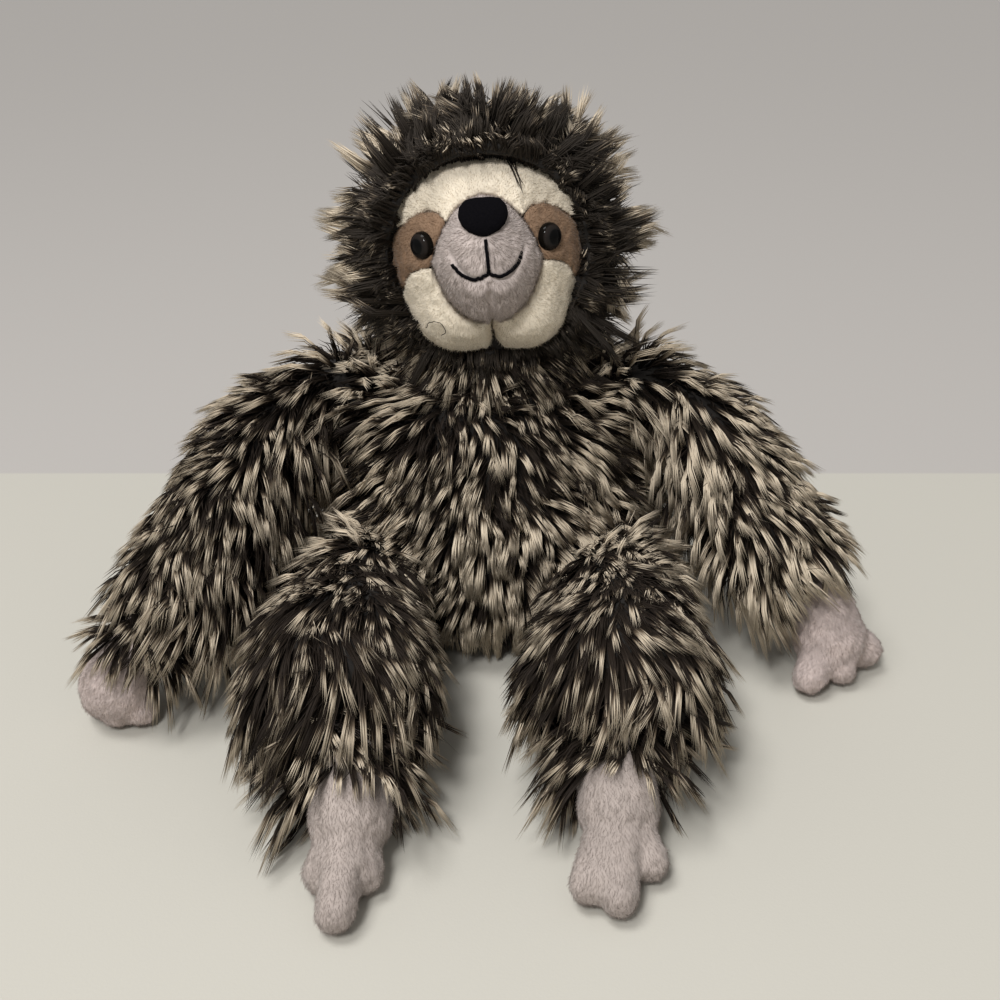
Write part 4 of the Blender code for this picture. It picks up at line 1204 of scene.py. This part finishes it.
# node, slot, and the middle, radius and height of the puff
PANELS = (
    ("forehead_panel", "cream_plush", (0, 0.022), 0.020, 0.0010),
    ("cheek_left", "cream_plush", (0.016, -0.024), 0.017, 0.0050),
    ("cheek_right", "cream_plush", (-0.016, -0.023), 0.017, 0.0042),
    ("eye_patch_left", "brown_plush", (0.026, 0.004), 0.014, 0.0004),
    ("eye_patch_right", "brown_plush", (-0.026, 0.004), 0.014, 0.0004),
)
panels = []
for index, (node, slot, middle, radius, height) in enumerate(PANELS):
    panel = soft_skin(node + "_cloth", [node], 0.0011, rounds=2)
    swell(panel, FACE_CAP)
    lumpy(panel, 0.0010, 0.0)
    puff(panel, middle, radius, height)
    widen(panel)
    if node.startswith("cheek"):
        for vert in panel.data.vertices:
            local = FACE.inverted() @ vert.co
            if local.z > 0:
                notch = CHIN_SEAM_DEPTH * valley(local.x - CHIN_SEAM, CHIN_SEAM_WIDTH)
                vert.co -= (vert.co - FACE_CENTRE).normalized() * notch
    wear(panel, plush[slot])
    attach(panel, "head")
    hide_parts(node)
    panels.append(panel)
    nap(panel, "head", node + "_nap", slot, 0.00085, 0.0015, math.radians(34), from_face,
        50 + index, face_outside)

# %% [markdown]
# ## Muzzle, nose and mouth
#
# The muzzle is an egg of short plush sewn into the face. A flat velvet nose sits on its top, and
# a black thread is stitched in a seam and a smile.

# %% Muzzle
SMILE_MIDDLE = 0.0006
SMILE_HALF = 0.012                  # from the smile's middle to its end
SMILE_DEPTH = 0.0010
SEAM_DEPTH = 0.0014
STITCH_WIDTH = 0.0012               # half the width of the valley that a stitch draws in
LIP = 0.0012                        # height of the lip under the smile
MUZZLE_MIDDLE = FACE @ Vector((0, 0.001, 0.030))


def smile_at(across):
    """How far out on the smile a point lies, one at its end, and the smile's height there."""
    side = np.minimum(np.abs(across - SMILE_MIDDLE) / SMILE_HALF, 1.2)
    return side, -0.0014 - 0.0022 * np.sin(np.pi * side) + 0.0052 * side ** 3


muzzle = soft_skin("muzzle_cloth", ["muzzle_cover", "muzzle_stuffing"], 0.0014, rounds=4)
swell(muzzle, FACE_CAP)
lumpy(muzzle, 0.0010, 0.3)
for vert in muzzle.data.vertices:
    local = FACE.inverted() @ vert.co
    if local.z < 0.020:
        continue
    side, smile_height = smile_at(local.x)
    below = local.y - smile_height
    push = LIP * valley(below + 0.0046, 0.0024) * valley(local.x, 0.011)
    if side < 1.1:
        push -= SMILE_DEPTH * valley(below, STITCH_WIDTH)
    if local.y < -0.004:
        push -= SEAM_DEPTH * valley(local.x - SMILE_MIDDLE, STITCH_WIDTH)
    vert.co += (vert.co - MUZZLE_MIDDLE).normalized() * float(push)
wear(muzzle, plush["muzzle_plush"])
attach(muzzle, "head")
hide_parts("muzzle_cover", "muzzle_stuffing")


def from_muzzle(roots, normals):
    """Comb direction away from the nose."""
    return unit(roots - np.array(FACE @ Vector((0, 0.012, 0.046))))


def clear_of_mouth(spots, normals):
    """The muzzle's front, less a narrow band along the smile."""
    local = in_face(spots)
    side, smile_height = smile_at(local[:, 0])
    above = local[:, 1] - smile_height
    return (local[:, 2] > 0.022) & ~((side < 1.1) & (above > -0.0008) & (above < 0.0032))


nap(muzzle, "head", "muzzle_nap", "muzzle_plush", 0.00075, 0.0024, math.radians(20), from_muzzle,
    61, clear_of_mouth)

# %% Nose
black, tree, shader, grain = two_tone("black_velvet", "TexNoise", 1500, (0.0014, 0.0014, 0.0022),
                                      (0.0050, 0.0044, 0.0054), 1.0, 0.04)
bump_from(tree, shader, grain.outputs["Fac"], 0.4, 0.0003)
nose = soft_skin("nose_cloth", ["nose"], 0.0006, rounds=3)
nose_marks = [FACE.inverted() @ vert.co for vert in nose.data.vertices]
nose_top = max(mark.y for mark in nose_marks)
nose_bottom = min(mark.y for mark in nose_marks)
nose_half = (nose_top - nose_bottom) / 2
for vert, mark in zip(nose.data.vertices, nose_marks):
    rise = (mark.y - nose_bottom - nose_half) / nose_half       # -1 at the bottom, 1 at the top
    mark.x *= 1.0 + 0.10 * rise + 0.10 * abs(rise) ** 3
    if rise > 0:
        mark.y += 0.0007 * rise * min(abs(mark.x) / 0.006, 1) ** 2      # raises the two corners
    else:
        mark.y += 0.0006 * rise * valley(mark.x, 0.003)                 # draws down the point
    vert.co = FACE @ mark
wear(nose, black)
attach(nose, "head")
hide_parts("nose")

# %% [markdown]
# The thread is laid on the finished muzzle: points of the smile are sent straight in until they
# meet the cloth, so it never floats or sinks.

# %% Stitched mouth
THREAD = 0.00062
FAR_OUT = 0.080                     # a place in front of the whole face
muzzle_tree = BVHTree.FromObject(muzzle, bpy.context.evaluated_depsgraph_get())


def on_muzzle(across, up):
    """The muzzle's surface under a point of the face."""
    hit = muzzle_tree.ray_cast(FACE @ Vector((across, up, FAR_OUT)), Vector(-FACE_OUT))
    return hit[0] + hit[1] * THREAD * 1.1


def thread(name, marks, place, radius):
    """A round thread through marks that are laid on the face."""
    curve = bpy.data.curves.new(name, "CURVE")
    curve.dimensions = "3D"
    curve.bevel_depth = radius
    curve.bevel_resolution = 2
    curve.use_fill_caps = True
    spline = curve.splines.new("POLY")
    spline.points.add(len(marks) - 1)
    for point, mark in zip(spline.points, marks):
        point.co = (*place(*mark), 1)
    thing = bpy.data.objects.new(name, curve)
    bpy.context.scene.collection.objects.link(thing)
    only(thing)
    bpy.ops.object.convert(target="MESH")
    return bpy.context.object


SMILE = ((-0.0117, 0.0020), (-0.0093, -0.0012), (-0.0063, -0.0029), (-0.0030, -0.0029),
         (0.0006, -0.0014), (0.0040, -0.0022), (0.0070, -0.0014), (0.0101, 0.0010),
         (0.0124, 0.0042))
SEAM = ((0.0004, 0.0100), (0.0006, -0.0014))


def between(marks, steps):
    """Even steps on a smooth curve through a few marks."""
    points = [Vector((*mark, 0)) for mark in marks]
    ends = [points[0] * 2 - points[1]] + points + [points[-1] * 2 - points[-2]]
    found = []
    for index in range(1, len(ends) - 2):
        for step in range(steps):
            share = step / steps
            a, b, c, d = ends[index - 1:index + 3]
            spot = 0.5 * (2 * b + (c - a) * share + (2 * a - 5 * b + 4 * c - d) * share ** 2
                          + (3 * b - a - 3 * c + d) * share ** 3)
            found.append((spot.x, spot.y))
    return found + [marks[-1]]


smile = thread("mouth_thread", between(SMILE, 6), on_muzzle, THREAD)
seam = thread("mouth_seam", between(SEAM, 8), on_muzzle, THREAD)
for thing in (smile, seam):
    wear(thing, black)
    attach(thing, "head")
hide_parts("mouth_stitching")

# %% [markdown]
# Two small things make this toy its own: a few dark hairs that fall over the forehead, and one
# hair that curls on a cheek.

# %% Stray hairs on the face
def on_face(across, up, lift):
    """A place just above the face panels."""
    start = FACE @ Vector((across, up, FAR_OUT))
    hits = [tree.ray_cast(start, Vector(-FACE_OUT)) for tree in panel_trees]
    near = min((hit for hit in hits if hit[0]), key=lambda hit: hit[3])
    return near[0] + near[1] * lift


panel_trees = [BVHTree.FromObject(panel, bpy.context.evaluated_depsgraph_get()) for panel in panels]
STREAKS = (((0.0098, 0.0330), (0.0118, 0.0275), (0.0140, 0.0215)),
           ((0.0105, 0.0325), (0.0130, 0.0280), (0.0136, 0.0225)),
           ((0.0120, 0.0322), (0.0124, 0.0285), (0.0146, 0.0245)),
           ((0.0092, 0.0328), (0.0112, 0.0290), (0.0128, 0.0240)))
streak_lines = np.array([[on_face(*mark, 0.0012) for mark in marks] for marks in STREAKS])
streak = fibre_mesh("forehead_streak", streak_lines, np.tile([0.0005, 0.0006, 0.0], (len(STREAKS), 1)),
                    np.full(len(STREAKS), 0.1), fur_finish)
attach(streak, "head")

# %% Curled hair on the cheek
CURL = ((-0.0235, -0.0225), (-0.0215, -0.0200), (-0.0182, -0.0205), (-0.0164, -0.0232),
        (-0.0182, -0.0250))
CURL_RADIUS = 0.00014
curl = thread("curled_hair", between(CURL, 5), lambda across, up: on_face(across, up, 0.0014),
              CURL_RADIUS)
wear(curl, black)
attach(curl, "head")

# %% [markdown]
# ## Eyes
#
# A safety eye is one polished dome of nearly black plastic. The dome is a sphere cut in half and
# flattened, on a thin rim, and its faint rings are painted by distance from its axis.

# %% Eyes
FACE_BALL = 0.037
EYE_RADIUS = 0.0050
EYE_DOME = 0.0036
EYE_ACROSS = 0.611 * FACE_BALL
EYE_UP = 0.197 * FACE_BALL
EYE_TURN = math.radians(41)
EYE_SINK = 0.001
EYE_RIM = 0.0006
EYE_LIFT = 0.0007


def eye_frame(side):
    """An eye's frame, with Z out of the dome."""
    out = math.sqrt(FACE_BALL ** 2 - EYE_ACROSS ** 2 - EYE_UP ** 2)
    place = Vector((side * EYE_ACROSS, EYE_UP, out))
    return (FACE @ Matrix.Translation(place) @ Matrix.Rotation(side * EYE_TURN, 4, "Y")
            @ Matrix.Translation((0, 0, -EYE_SINK)))


def eye_material(name, frame_of):
    """Middle, ring and rim by the distance from the eye's axis."""
    made, tree, shader = material(name, 0.05, 0.055)
    place = add_node(tree, "TexCoord")
    centre = add_node(tree, "Mapping")
    centre.vector_type = "TEXTURE"
    centre.inputs["Location"].default_value = frame_of.to_translation()
    centre.inputs["Rotation"].default_value = frame_of.to_euler()
    split = add_node(tree, "SeparateXYZ")
    flat = add_node(tree, "CombineXYZ")
    length = add_node(tree, "VectorMath")
    length.operation = "LENGTH"
    scale = add_node(tree, "Math")
    scale.operation = "MULTIPLY"
    scale.inputs[1].default_value = 1 / EYE_RADIUS
    ramp = ramp_node(tree, (0.0, (0.003, 0.003, 0.003)), (0.50, (0.004, 0.004, 0.004)),
                     (0.60, (0.015, 0.013, 0.012)), (0.82, (0.020, 0.016, 0.014)),
                     (0.92, (0.005, 0.004, 0.003)))
    join_nodes(tree, (place.outputs["Object"], centre.inputs["Vector"]),
               (centre.outputs[0], split.inputs[0]),
               (split.outputs["X"], flat.inputs["X"]),
               (split.outputs["Y"], flat.inputs["Y"]),
               (flat.outputs[0], length.inputs[0]),
               (length.outputs["Value"], scale.inputs[0]),
               (scale.outputs[0], ramp.inputs["Fac"]),
               (ramp.outputs["Color"], shader.inputs["Base Color"]))
    return made


def build_eye(side, name):
    """A smooth dome with a thin rim, closed at its back."""
    spot = eye_frame(side)
    bpy.ops.object.select_all(action="DESELECT")
    bpy.ops.mesh.primitive_uv_sphere_add(segments=48, ring_count=24, radius=EYE_RADIUS)
    dome = bpy.context.object
    dome.name = "eye_dome_" + name
    bpy.ops.object.mode_set(mode="EDIT")
    bpy.ops.mesh.select_all(action="SELECT")
    bpy.ops.mesh.bisect(plane_co=(0, 0, 0), plane_no=(0, 0, 1), use_fill=True, clear_inner=True)
    bpy.ops.mesh.select_all(action="SELECT")
    bpy.ops.transform.resize(value=(1, 1, EYE_DOME / EYE_RADIUS))
    bpy.ops.object.mode_set(mode="OBJECT")
    bpy.ops.object.select_all(action="DESELECT")
    for face in dome.data.polygons:
        face.select = face.normal.z < -0.9
    bpy.ops.object.mode_set(mode="EDIT")
    bpy.ops.mesh.extrude_region_move(TRANSFORM_OT_translate={"value": (0, 0, -EYE_RIM)})
    bpy.ops.mesh.select_all(action="SELECT")
    bpy.ops.transform.translate(value=(0, 0, EYE_LIFT))
    bpy.ops.object.mode_set(mode="OBJECT")
    dome.data.transform(spot)
    only(dome)
    bpy.ops.object.shade_smooth_by_angle(angle=math.radians(40))
    wear(dome, eye_material("eye_plastic_" + name, spot))
    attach(dome, "head")
    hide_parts("eye_" + name)
    print(dome.name, len(dome.data.polygons), "faces")


build_eye(1, "left")
build_eye(-1, "right")

# %% Washers behind the eyes
washer = two_tone("washer_plastic", "TexNoise", 200, (0.66, 0.66, 0.64), (0.74, 0.74, 0.72), 0.4)[0]
for name in ("eye_washer_left", "eye_washer_right"):
    wear(frame["nodes"][name], washer)

# %% [markdown]
# ## Paws and feet
#
# Short plush again, over a firm filling. The skins come from the frame's covers, with the joints
# between palm and fingers rounded off by smoothing.

# %% Paws and feet
def end_flow(root):
    """Comb direction away from the wrist or ankle."""
    return lambda roots, normals: unit(roots - np.array(root))


HELD_ROUND = 0.012                  # the filling doesn't move what lies this near to the joint

# how far the cuff reaches from the joint, its fur's length and its seed
CUFFS = {
    "left_foot": (0.0150, 0.0170, 81),
    "right_foot": (0.0165, 0.0175, 83),
    "right_paw": (0.0105, 0.0160, 85),
}


def add_cuff(skin, body, sleeve, pivot, reach, length, seed):
    """Long fur round the top of a paw or foot, where the sleeve is sewn to it."""
    flow, out_of_sleeve = SLEEVES[sleeve]

    def near(spots, normals):
        away = np.linalg.norm(spots - np.array(pivot), axis=1)
        return (away < reach) & (spots[:, 2] > 0.004) & out_of_sleeve(spots)

    def length_of(roots, normals):
        return length * (1 + 0.7 * np.abs(normals[:, 0]))

    def lift_of(roots, normals):
        return np.radians(20 + 22 * np.abs(normals[:, 0]))

    dress(skin, body, body + "_cuff_fur", [""], 0.0034, flow, length_of, lift_of,
          toned(-0.10), near, 0.62, seed, LIMB_STYLE, finish=limb_finish)


ENDS = (("paw", "arm", "paw_plush", "_wrist"), ("foot", "leg", "foot_plush", "_ankle"))
for index, side in enumerate(("left", "right")):
    for kind, limb, slot, pivot in ENDS:
        body = side + "_" + kind
        skin = soft_skin(body + "_cloth", [body + "_cover", body + "_stuffing"], 0.0016, rounds=4)
        pivot_place = joints[side + pivot]
        swell(skin, PAW_CAP, lambda place: (place - pivot_place).length < HELD_ROUND)
        lumpy(skin, 0.0011)
        wear(skin, plush[slot])
        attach(skin, body)
        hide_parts(body + "_cover", body + "_stuffing")
        nap(skin, body, body + "_nap", slot, 0.00078, 0.0019, math.radians(20),
            end_flow(pivot_place), 70 + index * 2 + (kind == "foot"), width=PAW_NAP_WIDTH)
        cuff = CUFFS.get(body)
        if cuff:
            add_cuff(skin, body, side + "_" + limb, pivot_place, *cuff)
